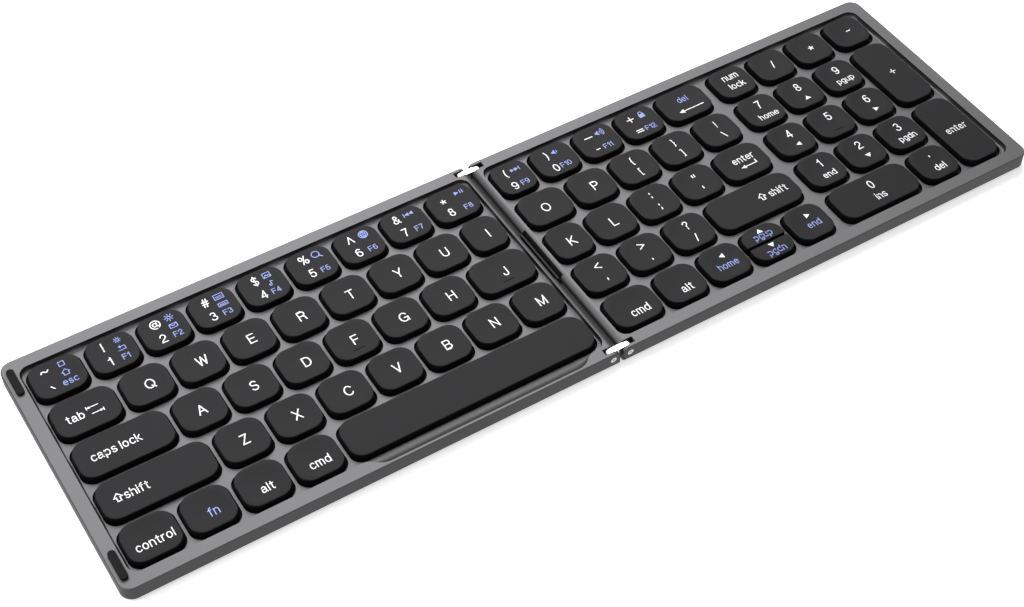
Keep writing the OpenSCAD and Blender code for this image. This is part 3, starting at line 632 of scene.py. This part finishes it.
coveAlong(scoopPath, "left_half", "scoopFoot", cove["scoopWide"], cove["scoopHigh"],
          steepest=cove["scoopSteepest"], swells=swells)

print("stage: keycaps")


def middleOf(name):
    x0, x1, y0, y1 = faces[name]
    return (x0 + x1) / 2, (y0 + y1) / 2


for node, names in capNodes.items():
    whole = [n for n in names if n not in ("up", "down")]
    stretches = [((x1 - x0 - cap["wide"]) * mm, (y1 - y0 - cap["deep"]) * mm, 0 if isDished((x0, x1, y0, y1)) else 1)
                 for x0, x1, y0, y1 in [faces[n] for n in whole]]
    piece = grown(node + "_cap", [middleOf(n) + (0,) for n in whole], [], {"stretch": ("FLOAT_VECTOR", stretches)},
                  capTree, capSockets, keycap=unitCap, finish=capPlastic)
    extras = []
    if "up" in names:  # the two half-height keys are cut straight where they meet
        r, least = cap["corner"], cap["leastCorner"]
        extras.append(buildCap(faces["up"], (r, r, least, least), False, "front"))
        extras.append(buildCap(faces["down"], (least, least, r, r), False, "rear"))
    for name in ("f", "j", "pad5"):
        if name in names:
            x, y = middleOf(name)
            extras.append(homingBar(x, y - cap["barForward"]))
    if extras:
        joined(piece, extras)
    piece.data.materials.clear()
    piece.data.materials.append(capPlastic)
    piece.data.polygons.foreach_set("material_index", [0] * len(piece.data.polygons))
    smooth(piece.data)
    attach(piece, node)
    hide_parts(node)
bpy.data.objects.remove(unitCap)

print("stage: scissors")

scissor = {
    "long": 9.0,
    "thick": 0.55,
    "low": 2.78,
    "high": 4.98,  # stays under a pressed cap's dish
    "levers": ((9.2, 7.6, 1), (7.2, 5.4, -1)),  # width, width of the opening, side that rises
    "opening": 6.4,
    "corner": 0.7,
}

# One pair of crossed levers, set on the middle of each full-height key
scissorTree, given, scissorSockets = newTree("scissorsOnPoints", pair="NodeSocketObject", finish="NodeSocketMaterial")
pair = addNode(scissorTree, "GeometryNodeObjectInfo", {"Object": given["pair"]})
spread = addNode(scissorTree, "GeometryNodeInstanceOnPoints",
                 {"Points": given["Geometry"], "Instance": pair.outputs["Geometry"]})
closeTree(scissorTree, spread.outputs[0], given["finish"])

rise = (scissor["high"] - scissor["low"] - scissor["thick"]) / 2
tilt = math.asin(2 * rise / scissor["long"])
verts, leverFaces = [], []
for wide, opening, side in scissor["levers"]:
    rings = []
    for z in (scissor["thick"] / 2, -scissor["thick"] / 2):
        for w, l, r in ((wide, scissor["long"] * math.cos(tilt), scissor["corner"]),
                        (opening, scissor["opening"], scissor["corner"] / 2)):
            start = len(verts)
            for x, y in outline(-w / 2, w / 2, -l / 2, l / 2, (r,) * 4, 4, 1):
                verts.append((x * mm, (y * math.cos(tilt) - side * z * math.sin(tilt)) * mm,
                              (side * y * math.sin(tilt) + z * math.cos(tilt)) * mm))
            rings.append(range(start, len(verts)))
    for a, b in ((0, 1), (1, 3), (3, 2), (2, 0)):
        count = len(rings[a])
        leverFaces += [(rings[a][i], rings[a][(i + 1) % count], rings[b][(i + 1) % count], rings[b][i])
                       for i in range(count)]
pairData = bpy.data.meshes.new("scissorPair")
pairData.from_pydata(verts, [], leverFaces)
scissorPair = bpy.data.objects.new("scissorPair", pairData)
for side, body, node in ((-1, "left_half", "left_scissors"), (1, "right_half", "right_scissors")):
    middles = [middleOf(name) for name in faces if name not in ("up", "down") and side * middleOf(name)[0] > 0]
    level = (scissor["low"] + scissor["high"]) / 2
    piece = grown(node + "_levers", [(x, y, level) for x, y in middles], [], {}, scissorTree, scissorSockets,
                  pair=scissorPair, finish=scissorAcetal)
    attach(piece, body)
    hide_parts(node)
bpy.data.objects.remove(scissorPair)

print("stage: legends")

prints = {
    "lift": 0.02,  # height of the ink over the plastic
    "letter": (3.8, 0.4),  # heights of a capital and strokes: letters, digits, signs
    "digit": (3.55, 0.38),
    "sign": (3.5, 0.38),
    "function": (2.3, 0.27),  # the F keys' labels
    "word": (3.2, 0.34),
    "bigWord": (2.95, 0.32),
    "smallWord": (2.7, 0.28),
    "gap": 0.25,  # between letters, as a share of a capital's height
    "space": 0.3,
    "sharp": 95,  # a stroke that turns by more is drawn as two
    "mitre": 0.9,  # the less, the longer a corner may grow
    "thinLine": 0.26,  # strokes of the blue pictures, then of the arrows
    "shiftArrow": 0.34,
    "tabArrow": 0.28,
    "keyArrow": 0.36,
}


def at(path):
    # Points of a path that is written as x y x y
    numbers = [float(number) for number in path.split()]
    return list(zip(numbers[::2], numbers[1::2]))


def moved(points, x, y):
    return [(px + x, py + y) for px, py in points]


bowl, dot, stem, lowStem = bow(0.25, 0.36, 0.25, 0.36), at("0 -.02 0 .1"), at("0 0 0 1"), at("0 0 0 .72")
arch, tick, tail = bow(0.23, 0.47, 0.23, 0.25, 180, 0) + at(".46 0"), at("0 1 0 .7"), at(".04 .1 .04 -.02 0 -.14")
sUpper, sLower = bow(0.3, 0.75, 0.26, 0.25, 25, 235), bow(0.31, 0.26, 0.28, 0.26, 55, -160)

# Centre lines of every sign on a capital one unit high, in the plain round style of keyboard lettering
glyphs = {
    "A": [at("0 0 .35 1 .7 0"), at(".14 .34 .56 .34")],
    "B": [at("0 .53 0 1 .33 1") + bow(0.34, 0.765, 0.24, 0.235, 90, -90) + at("0 .53 0 0 .35 0")
          + bow(0.35, 0.265, 0.27, 0.265, -90, 90)],
    "C": [bow(0.37, 0.5, 0.37, 0.5, 38, 322)],
    "D": [at(".25 0 0 0 0 1 .25 1") + bow(0.27, 0.5, 0.38, 0.5, 90, -90)],
    "E": [at(".56 1 0 1 0 0 .58 0"), at("0 .53 .52 .53")],
    "F": [at(".54 1 0 1 0 0"), at("0 .51 .48 .51")],
    "G": [bow(0.38, 0.5, 0.38, 0.5, 38, 350) + at(".74 .44 .42 .44"), at(".74 .44 .74 0")],
    "H": [stem, at(".62 0 .62 1"), at("0 .53 .62 .53")],
    "I": [stem],
    "J": [at(".44 1") + bow(0.22, 0.27, 0.22, 0.27, 0, -180)],
    "K": [stem, at(".6 1 0 .36"), at(".2 .57 .64 0")],
    "L": [at("0 1 0 0 .5 0")],
    "M": [at("0 0 0 1 .37 .04 .74 1 .74 0")],
    "N": [at("0 0 0 1 .62 0 .62 1")],
    "O": [bow(0.4, 0.5, 0.4, 0.5)],
    "P": [at("0 0 0 1 .34 1") + bow(0.34, 0.73, 0.26, 0.27, 90, -90) + at("0 .46")],
    "Q": [bow(0.4, 0.5, 0.4, 0.5), at(".5 .24 .78 -.04")],
    "R": [at("0 0 0 1 .36 1") + bow(0.36, 0.745, 0.25, 0.255, 90, -90) + at("0 .49"),
          at(".36 .49 .54 .38 .6 0")],
    "S": [sUpper + sLower],
    "T": [at("0 1 .62 1"), at(".31 1 .31 0")],
    "U": [at("0 1") + bow(0.31, 0.31, 0.31, 0.31, 180, 360) + at(".62 1")],
    "V": [at("0 1 .33 0 .66 1")],
    "W": [at("0 1 .24 0 .48 .96 .72 0 .96 1")],
    "X": [at("0 1 .62 0"), at("0 0 .62 1")],
    "Y": [at("0 1 .32 .42 .64 1"), at(".32 .42 .32 0")],
    "Z": [at(".03 1 .56 1 0 0 .58 0")],
    "a": [bow(0.25, 0.53, 0.2, 0.19, 165, 0) + at(".45 .08 .52 0"),
          at(".45 .42 .2 .38") + bow(0.18, 0.19, 0.18, 0.19, 90, 290) + at(".45 .16")],
    "b": [at("0 1 0 0"), bowl],
    "c": [bow(0.25, 0.36, 0.25, 0.36, 42, 318)],
    "d": [at(".5 1 .5 0"), bowl],
    "e": [at(".02 .39 .5 .39") + bow(0.25, 0.36, 0.25, 0.36, 5, 318)],
    "f": [at(".14 0") + bow(0.3, 0.84, 0.16, 0.16, 180, 80), at("0 .72 .3 .72")],
    "g": [bowl, at(".5 .72") + bow(0.26, -0.08, 0.24, 0.2, 0, -155)],
    "h": [stem, arch],
    "i": [lowStem, at("0 .94 0 1")],
    "k": [stem, at(".42 .72 0 .26"), at(".15 .42 .46 0")],
    "l": [stem],
    "m": [lowStem, bow(0.19, 0.52, 0.19, 0.2, 180, 0) + at(".38 0"),
          bow(0.57, 0.52, 0.19, 0.2, 180, 0) + at(".76 0")],
    "n": [lowStem, arch],
    "o": [bowl],
    "p": [at("0 .72 0 -.28"), bowl],
    "r": [lowStem, bow(0.26, 0.44, 0.26, 0.28, 180, 88)],
    "s": [[(x * 0.74, y * 0.72) for x, y in sUpper + sLower]],
    "t": [at(".14 .93") + bow(0.28, 0.14, 0.14, 0.14, 180, 275), at("0 .72 .3 .72")],
    "u": [at("0 .72") + bow(0.23, 0.25, 0.23, 0.25, 180, 360), at(".46 .72 .46 0")],
    "0": [bow(0.26, 0.5, 0.26, 0.5)],
    "1": [at("0 .76 .14 .82 .24 1 .24 0")],
    "2": [bow(0.26, 0.71, 0.25, 0.29, 175, -35) + at(".1 .22 0 0 .53 0")],
    "3": [bow(0.25, 0.77, 0.22, 0.23, 160, -80) + bow(0.26, 0.27, 0.27, 0.27, 80, -165)],
    "4": [at(".54 .25 0 .25 .4 1 .4 0")],
    "5": [at(".48 1 .1 1 .04 .5") + bow(0.25, 0.32, 0.27, 0.32, 128, -160)],
    "6": [bow(0.27, 0.31, 0.26, 0.31, 180, 540), bow(0.3, 0.56, 0.29, 0.44, 50, 200)],
    "7": [at("0 1 .5 1 .28 .5 .17 0")],
    "8": [bow(0.26, 0.76, 0.21, 0.24), bow(0.26, 0.27, 0.26, 0.27)],
    "9": [bow(0.26, 0.69, 0.26, 0.31), bow(0.23, 0.44, 0.29, 0.44, -130, 20)],
    "!": [at("0 1 0 .3"), dot],
    "@": [bow(0.5, 0.4, 0.5, 0.52, -55, 275), bow(0.46, 0.4, 0.2, 0.22),
          at(".68 .62") + bow(0.8, 0.32, 0.14, 0.16, 190, 330)],
    "#": [at(".1 0 .24 1"), at(".38 0 .52 1"), at("0 .34 .58 .34"), at(".04 .66 .62 .66")],
    "$": [[(x * 0.95, y) for x, y in sUpper + sLower], at(".29 1.12 .29 -.12")],
    "%": [bow(0.18, 0.77, 0.18, 0.23), bow(0.72, 0.23, 0.18, 0.23), at(".25 -.02 .65 1.02")],
    "^": [at("0 .12 .32 1 .64 .12")],
    "&": [at(".66 0 .16 .64") + bow(0.31, 0.81, 0.17, 0.19, 200, -40) + at(".13 .44")
          + bow(0.24, 0.23, 0.24, 0.23, 140, 310) + at(".54 .24 .6 .44")],
    "*": [[(0.2, 0.8), (0.2 + 0.27 * math.sin(math.radians(a)), 0.8 + 0.27 * math.cos(math.radians(a)))]
          for a in range(0, 360, 72)],
    "(": [bow(0.46, 0.4, 0.44, 0.78, 132, 228)],
    ")": [bow(-0.28, 0.4, 0.44, 0.78, 48, -48)],
    "_": [at("0 0 .9 0")],
    "-": [at("0 0 .4 0")],
    "+": [at("0 .36 .74 .36"), at(".37 .73 .37 -.01")],
    "=": [at("0 .3 .74 .3"), at("0 0 .74 0")],
    "{": [at(".24 1.04 .12 .98 .12 .52 0 .4 .12 .28 .12 -.18 .24 -.24")],
    "}": [at("0 1.04 .12 .98 .12 .52 .24 .4 .12 .28 .12 -.18 0 -.24")],
    "[": [at(".18 1.04 0 1.04 0 -.24 .18 -.24")],
    "]": [at("0 1.04 .18 1.04 .18 -.24 0 -.24")],
    "|": [at("0 1.04 0 -.24")],
    "\\": [at("0 1 .3 0")],
    "/": [at("0 0 .3 1")],
    ":": [dot, moved(dot, 0, 0.55)],
    ";": [tail, moved(dot, 0.04, 0.55)],
    "\"": [tick, at(".27 1 .27 .7")],
    "'": [tick],
    "<": [at(".6 .7 0 .36 .6 .02")],
    ">": [at("0 .7 .6 .36 0 .02")],
    ",": [tail],
    ".": [dot],
    "?": [bow(0.23, 0.77, 0.23, 0.23, 175, -40) + at(".23 .42 .23 .3"), moved(dot, 0.23, 0)],
    "~": [at("0 .03 .09 .2 .22 .24 .5 .06 .64 .08 .74 .25")],
    "`": [at("0 .34 .22 0")],
}

white, blue = 0, 1
inks = {node: ([], [], []) for node in capNodes}  # flat shapes on each body: points, faces and their inks
nodeOf = {name: node for node, names in capNodes.items() for name in names}


def topAt(x, y, face):
    # Height of a keycap's top at a place; long and half-height keys are flat
    if not isDished(face) or face[3] - face[2] < cap["deep"] - 1:
        return cap["top"]
    wider = face[1] - face[0] - cap["wide"]
    dx = max(0, abs(x - (face[0] + face[1]) / 2) - max(0, wider) / 2) / (1 + min(0, wider) / cap["wide"])
    dy = abs(y - (face[2] + face[3]) / 2)
    scale = math.hypot(dx, dy) / cap["dishRadius"]
    return cap["top"] - cap["dish"] * max(0, 1 - scale * scale)


def turn(before, point, after):
    # Angle by which a path changes its direction at a point
    a, b = Vector(point) - Vector(before), Vector(after) - Vector(point)
    return math.degrees(a.angle(b, 0))


def lay(key, points, polygons, ink):
    # Flat polygons laid on a key's top, all turned upwards
    verts, shapes, colours = inks[nodeOf[key]]
    start = len(verts)
    verts.extend((x * mm, y * mm, (topAt(x, y, faces[key]) + prints["lift"]) * mm) for x, y in points)
    for polygon in polygons:
        corners = [points[i] for i in polygon]
        area = sum(a[0] * b[1] - b[0] * a[1] for a, b in zip(corners, corners[1:] + corners[:1]))
        shapes.append([start + i for i in (polygon if area > 0 else polygon[::-1])])
        colours.append(ink)


def shape(key, points, x, y, ink=white):
    lay(key, [(x + px, y + py) for px, py in points], [tuple(range(len(points)))], ink)


def line(key, points, x, y, width, ink=white, size=1.0, closed=False, square=False):
    # A stroke of even width along a path, its corners mitred
    half = width / 2
    path = [Vector((x + px * size, y + py * size)) for px, py in points]
    if square and not closed:
        path[0] += (path[0] - path[1]).normalized() * half
        path[-1] += (path[-1] - path[-2]).normalized() * half
    count = len(path)
    sides = []
    for i, point in enumerate(path):
        before = path[i - 1] if i or closed else None
        after = path[(i + 1) % count] if i < count - 1 or closed else None
        along = [(b - a).normalized() for a, b in ((before, point), (point, after)) if a is not None and b is not None]
        normals = [Vector((-d.y, d.x)) for d in along]
        total = sum(normals, Vector((0, 0)))
        mitre = total / max(prints["mitre"], total.length_squared) * 2 if len(normals) > 1 else normals[0]
        sides += [tuple(point + mitre * half), tuple(point - mitre * half)]
    steps = [(2 * i, 2 * ((i + 1) % count)) for i in range(count if closed else count - 1)]
    lay(key, sides, [(a, a + 1, b + 1, b) for a, b in steps], ink)


def ring(key, x, y, radius, ink, width, sides=20):
    circle = [(radius * math.cos(2 * math.pi * i / sides), radius * math.sin(2 * math.pi * i / sides))
              for i in range(sides)]
    line(key, circle, x, y, width, ink, closed=True)


def text(key, label, x, y, kind="word", ink=white, size=1.0):
    # Strokes of a line of text, its box centred on a place
    height, width = [value * size for value in prints[kind]]
    paths, pen = [], 0
    for letter in label:
        if letter == " ":
            pen += prints["space"]
            continue
        strokes = glyphs[letter]
        paths += [[(px + pen, py) for px, py in stroke] for stroke in strokes]
        pen += max(px for stroke in strokes for px, _ in stroke) + prints["gap"]
    xs, ys = zip(*[point for path in paths for point in path])
    mx, my = (min(xs) + max(xs)) / 2, (min(ys) + max(ys)) / 2
    for path in paths:
        closed = math.dist(path[0], path[-1]) < tiny
        points = [(px - mx, py - my) for px, py in (path[:-1] if closed else path)]
        sharp = [i for i in range(1, len(points) - 1)
                 if not closed and turn(*points[i - 1:i + 2]) > prints["sharp"]]
        for start, end in zip([0] + sharp, sharp + [len(points)]):
            line(key, points[start:end + 1], x, y, width, ink, height - width, closed, True)


# Letters: height of the row, its keys, and how far along each letter stands
letterRows = (
    (16.5, "qwertyuiop", (-127.4, -110.3, -93.7, -76.6, -59.5, -42.4, -25.5, -9.4, 12.6, 31.7)),
    (-0.4, "asdfghjkl", (-118.5, -101.2, -83.6, -67.0, -50.0, -33.0, -13.5, 11.7, 27.8)),
    (-16.9, "zxcvbnm", (-112.5, -95.3, -78.3, -61.5, -44.1, -27.3, -10.2)),
)
for y, names, places in letterRows:
    for name, x in zip(names, places):
        text(name, name.upper(), x, y, "letter")

# Number row: key, upper and lower sign, how far along both stand, height of the upper one, place of the F label
numberRow = (
    ("1", "!", "1", -134.0, 36.8, -129.0), ("2", "@", "2", -116.6, 36.8, -111.8), ("3", "#", "3", -99.7, 36.8, -95.0),
    ("4", "$", "4", -82.5, 36.8, -78.3), ("5", "%", "5", -65.4, 36.8, -61.0), ("6", "^", "6", -48.8, 36.8, -44.0),
    ("7", "&", "7", -31.9, 36.8, -27.0), ("8", "*", "8", -14.7, 36.0, -8.5), ("9", "(", "9", 9.3, 36.2, 13.1),
    ("0", ")", "0", 25.3, 36.2, 29.1), ("minus", "_", "-", 42.0, 36.2, 45.9), ("equal", "+", "=", 59.0, 36.2, 63.2),
)
for number, (key, upper, lower, x, upperY, labelX) in enumerate(numberRow, 1):
    lowerY, labelY = (30.5, 30.2) if x < 0 else (30.0, 30.0)
    text(key, upper, x, upperY, "sign")
    text(key, lower, x, lowerY, "digit")
    text(key, "F" + str(number), labelX, labelY, "function", blue)
text("esc", "~", -152.6, 37.1, "sign")
text("esc", "`", -152.6, 30.2, "sign")
text("esc", "esc", -147.0, 30.0, "smallWord", blue)

# Words of each kind: key, text, place, and the ink where it isn't white
words = {
    "word": (("tab", "tab", -151.4, 16.4), ("caps", "caps lock", -145.6, -0.4), ("shiftLeft", "shift", -146.6, -16.9),
             ("control", "control", -149.3, -35.4), ("fn", "fn", -131.1, -34.9, blue),
             ("altLeft", "alt", -114.5, -35.5), ("cmdLeft", "cmd", -97.6, -35.5), ("cmdRight", "cmd", 13.8, -36.0),
             ("altRight", "alt", 31.5, -36.0)),
    "bigWord": (("enter", "enter", 80.5, 1.2), ("shiftRight", "shift", 81.3, -16.9), ("num", "num", 100.7, 36.0),
                ("num", "lock", 100.7, 31.7), ("pad0", "ins", 108.9, -36.3), ("decimal", "del", 134.2, -36.1),
                ("padEnter", "enter", 150.7, -24.9)),
    "smallWord": (("delete", "del", 80.0, 35.6, blue), ("pad7", "home", 100.8, 13.7), ("pad9", "pgup", 134.2, 13.5),
                  ("pad1", "end", 100.8, -19.6), ("pad3", "pgdn", 134.1, -19.8), ("left", "home", 48.2, -34.9, blue),
                  ("right", "end", 82.4, -34.9, blue), ("up", "pgup", 65.0, -31.2, blue),
                  ("down", "pgdn", 65.0, -38.4, blue)),
}
for kind, entries in words.items():
    for key, label, x, y, *ink in entries:
        text(key, label, x, y, kind, *ink)

# Signs of the right half: key, sign, place, and the size where it isn't full
signs = (
    ("bracketLeft", "{", 48.2, 19.3, 0.84), ("bracketLeft", "[", 48.2, 13.8, 0.84),
    ("bracketRight", "}", 65.1, 19.3, 0.84), ("bracketRight", "]", 65.1, 13.8, 0.84),
    ("backslash", "|", 82.3, 19.2, 0.72), ("backslash", "\\", 82.2, 13.8, 0.9),
    ("semicolon", ":", 44.5, 2.9), ("semicolon", ";", 44.5, -2.9), ("quote", "\"", 61.5, 2.9),
    ("quote", "'", 61.5, -2.9), ("comma", "<", 12.4, -14.0), ("comma", ",", 12.4, -20.2), ("dot", ">", 29.2, -14.0),
    ("dot", ".", 29.2, -20.6), ("slash", "?", 46.5, -14.2), ("slash", "/", 46.5, -20.2), ("divide", "/", 117.5, 33.6),
    ("times", "*", 134.3, 33.6), ("subtract", "-", 151.3, 33.9), ("add", "+", 150.8, 8.6, 0.85),
)
for key, label, x, y, *size in signs:
    text(key, label, x, y, "sign", white, *size)
for key, x, y in (("pad7", 100.7, 19.5), ("pad8", 117.4, 19.5), ("pad9", 134.2, 19.5), ("pad4", 100.7, 2.5),
                  ("pad5", 117.4, 2.5), ("pad6", 134.1, 2.5), ("pad1", 100.8, -14.1), ("pad2", 117.4, -14.1),
                  ("pad3", 134.1, -14.1), ("pad0", 108.9, -30.9)):
    text(key, key[-1], x, y, "digit")
text("decimal", ".", 134.1, -30.7, "digit")

# Triangles of the arrow keys and of the pad
up = at("-1.15 -.8 1.15 -.8 0 .9")
down = at("1.15 .8 -1.15 .8 0 -.9")
left = at(".9 -1 .9 1 -.9 0")
right = at("-.9 1 -.9 -1 .9 0")
for key, points, x, y in (("left", left, 48.3, -31.0), ("right", right, 82.6, -31.0), ("up", up, 64.9, -28.6),
                          ("down", down, 64.9, -35.6), ("pad8", up, 117.4, 13.7), ("pad4", left, 100.7, -3.1),
                          ("pad6", right, 134.1, -3.1), ("pad2", down, 117.4, -19.6)):
    shape(key, points, x, y)

# Arrows drawn with lines
shiftArrow = at("-.7 -1.7 .7 -1.7 .7 .1 1.7 .1 0 1.9 -1.7 .1 -.7 .1")
for key, x, y in (("shiftLeft", -152.2, -16.8), ("shiftRight", 75.2, -16.8)):
    line(key, shiftArrow, x, y, prints["shiftArrow"], size=0.78, closed=True)
for way in (1, -1):  # one arrow to the left, one below it to the right
    place = -145.1 - way * 0.4, 16.4 + way * 1.3
    line("tab", [(way * 1.9, 0), (-way * 1.2, 0)], *place, prints["tabArrow"])
    line("tab", [(-way * 1.9, -0.65), (-way * 1.9, 0.65)], *place, prints["tabArrow"])
    shape("tab", [(-way * 1.8, 0), (-way * 0.9, way * -0.5), (-way * 0.9, way * 0.5)], *place)
line("delete", at("-3.4 0 5 0"), 80.3, 30.2, prints["keyArrow"])
shape("delete", at("-5 0 -2.9 .95 -2.9 -.95"), 80.3, 30.2)
line("enter", at("-1.6 0 3 0 3 1.5"), 80.6, -2.5, prints["keyArrow"])
shape("enter", at("-3.2 0 -1.4 .8 -1.4 -.8"), 80.6, -2.5)


def blueLine(key, x, y, points, weight=1.0, closed=False):
    line(key, points, x, y, prints["thinLine"] * weight, blue, closed=closed)


def box(wide, high):
    return [(-wide, -high), (wide, -high), (wide, high), (-wide, high)]


# Blue pictures over the F labels
thin = prints["thinLine"]
blueLine("esc", -147.0, 37.6, box(0.85, 0.85), closed=True)
blueLine("esc", -147.0, 33.9, at("-.8 -1 .8 -1 .8 .1 1.3 .1 0 1.3 -1.3 .1 -.8 .1"), closed=True)
for key, x, reach in (("1", -129.0, 1.15), ("2", -111.8, 1.55)):
    ring(key, x, 37.4, 0.5, blue, thin)
    for i in range(8):
        a = math.pi * i / 4
        blueLine(key, x, 37.4, [(0.8 * math.cos(a), 0.8 * math.sin(a)), (reach * math.cos(a), reach * math.sin(a))])
for points in (at("1.2 .7 -.6 .7"), at("-.1 1.2 -.7 .7 -.1 .2"), at("1.2 .7 1.2 -.7 -1.2 -.7")):
    blueLine("1", -129.0, 33.8, points)
blueLine("2", -111.8, 33.8, box(1.2, 0.8), closed=True)
blueLine("2", -111.8, 33.8, at("-1.2 .8 0 -.1 1.2 .8"))
for y, high in ((37.2, 1.0), (33.8, 0.7)):
    blueLine("3", -95.0, y, box(1.5, high), closed=True)
    for row in (-0.4, 0.1):
        blueLine("3", -95.0, y, [(-1.1, row * high), (1.1, row * high)], 0.8)
blueLine("4", -78.3, 37.4, box(1.2, 1.0), closed=True)
blueLine("4", -78.3, 37.4, at("-1 -.8 -.3 .2 .2 -.4 .6 0 1 -.8"))
ring("4", -78.7, 33.2, 0.4, blue, thin)
blueLine("4", -78.3, 33.2, at("0 0 0 1.5 .8 1.1"))
ring("5", -61.1, 37.2, 1.25, blue, thin * 1.2)
blueLine("5", -61.1, 37.2, at(".9 -.9 1.9 -1.9"), 1.4)
ring("6", -44.0, 36.9, 1.5, blue, thin)
globe = [at("-1.5 0 1.5 0"), at("0 -1.5 0 1.5")]
for side in (-1, 1):
    globe += [[(0, 1.5), (side * 0.75, 0.7), (side * 0.75, -0.7), (0, -1.5)], [(-1.3, side * 0.75), (1.3, side * 0.75)]]
for points in globe:
    blueLine("6", -44.0, 36.9, points)
blueLine("7", -27.2, 37.2, at("-1.6 .8 -1.6 -.8"), 1.2)
blueLine("8", -8.7, 37.2, at(".9 .8 .9 -.8"), 1.2)
blueLine("8", -8.7, 37.2, at("1.7 .8 1.7 -.8"), 1.2)
shape("7", at(".1 .75 -1.4 0 .1 -.75"), -27.2, 37.2, blue)
shape("7", at("1.6 .75 .1 0 1.6 -.75"), -27.2, 37.2, blue)
shape("8", at("-1.2 .8 -1.2 -.8 .4 0"), -8.7, 37.2, blue)
shape("9", at("-1.6 .75 -1.6 -.75 -.1 0"), 13.0, 36.6, blue)
shape("9", at("-.1 .75 -.1 -.75 1.4 0"), 13.0, 36.6, blue)
blueLine("9", 13.0, 36.6, at("1.6 .8 1.6 -.8"), 1.2)
for key, x, waves in (("0", 28.8, 1), ("minus", 46.2, 3)):
    shape(key, at("-1.3 .4 -1.3 -.4 -.7 -.4 0 -1.1 0 1.1 -.7 .4"), x, 36.6, blue)
    for i in range(waves):
        r = 0.7 + 0.65 * i
        blueLine(key, x, 36.6, bow(0, 0, r, r, -50, 50, 5))
shape("equal", at("-1.05 -1.2 1.05 -1.2 1.05 .4 -1.05 .4"), 63.6, 36.4, blue)
blueLine("equal", 63.6, 36.4, at("-.65 .4 -.65 1 -.3 1.4 .3 1.4 .65 1 .65 .4"), 1.2)

for node, (verts, shapes, colours) in inks.items():
    if not shapes:
        continue
    data = bpy.data.meshes.new(node + "_print")
    data.from_pydata(verts, [], shapes)
    data.materials.append(whiteInk)
    data.materials.append(blueInk)
    data.polygons.foreach_set("material_index", colours)
    data.update()
    piece = bpy.data.objects.new(node + "_print", data)
    scene.collection.objects.link(piece)
    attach(piece, node)
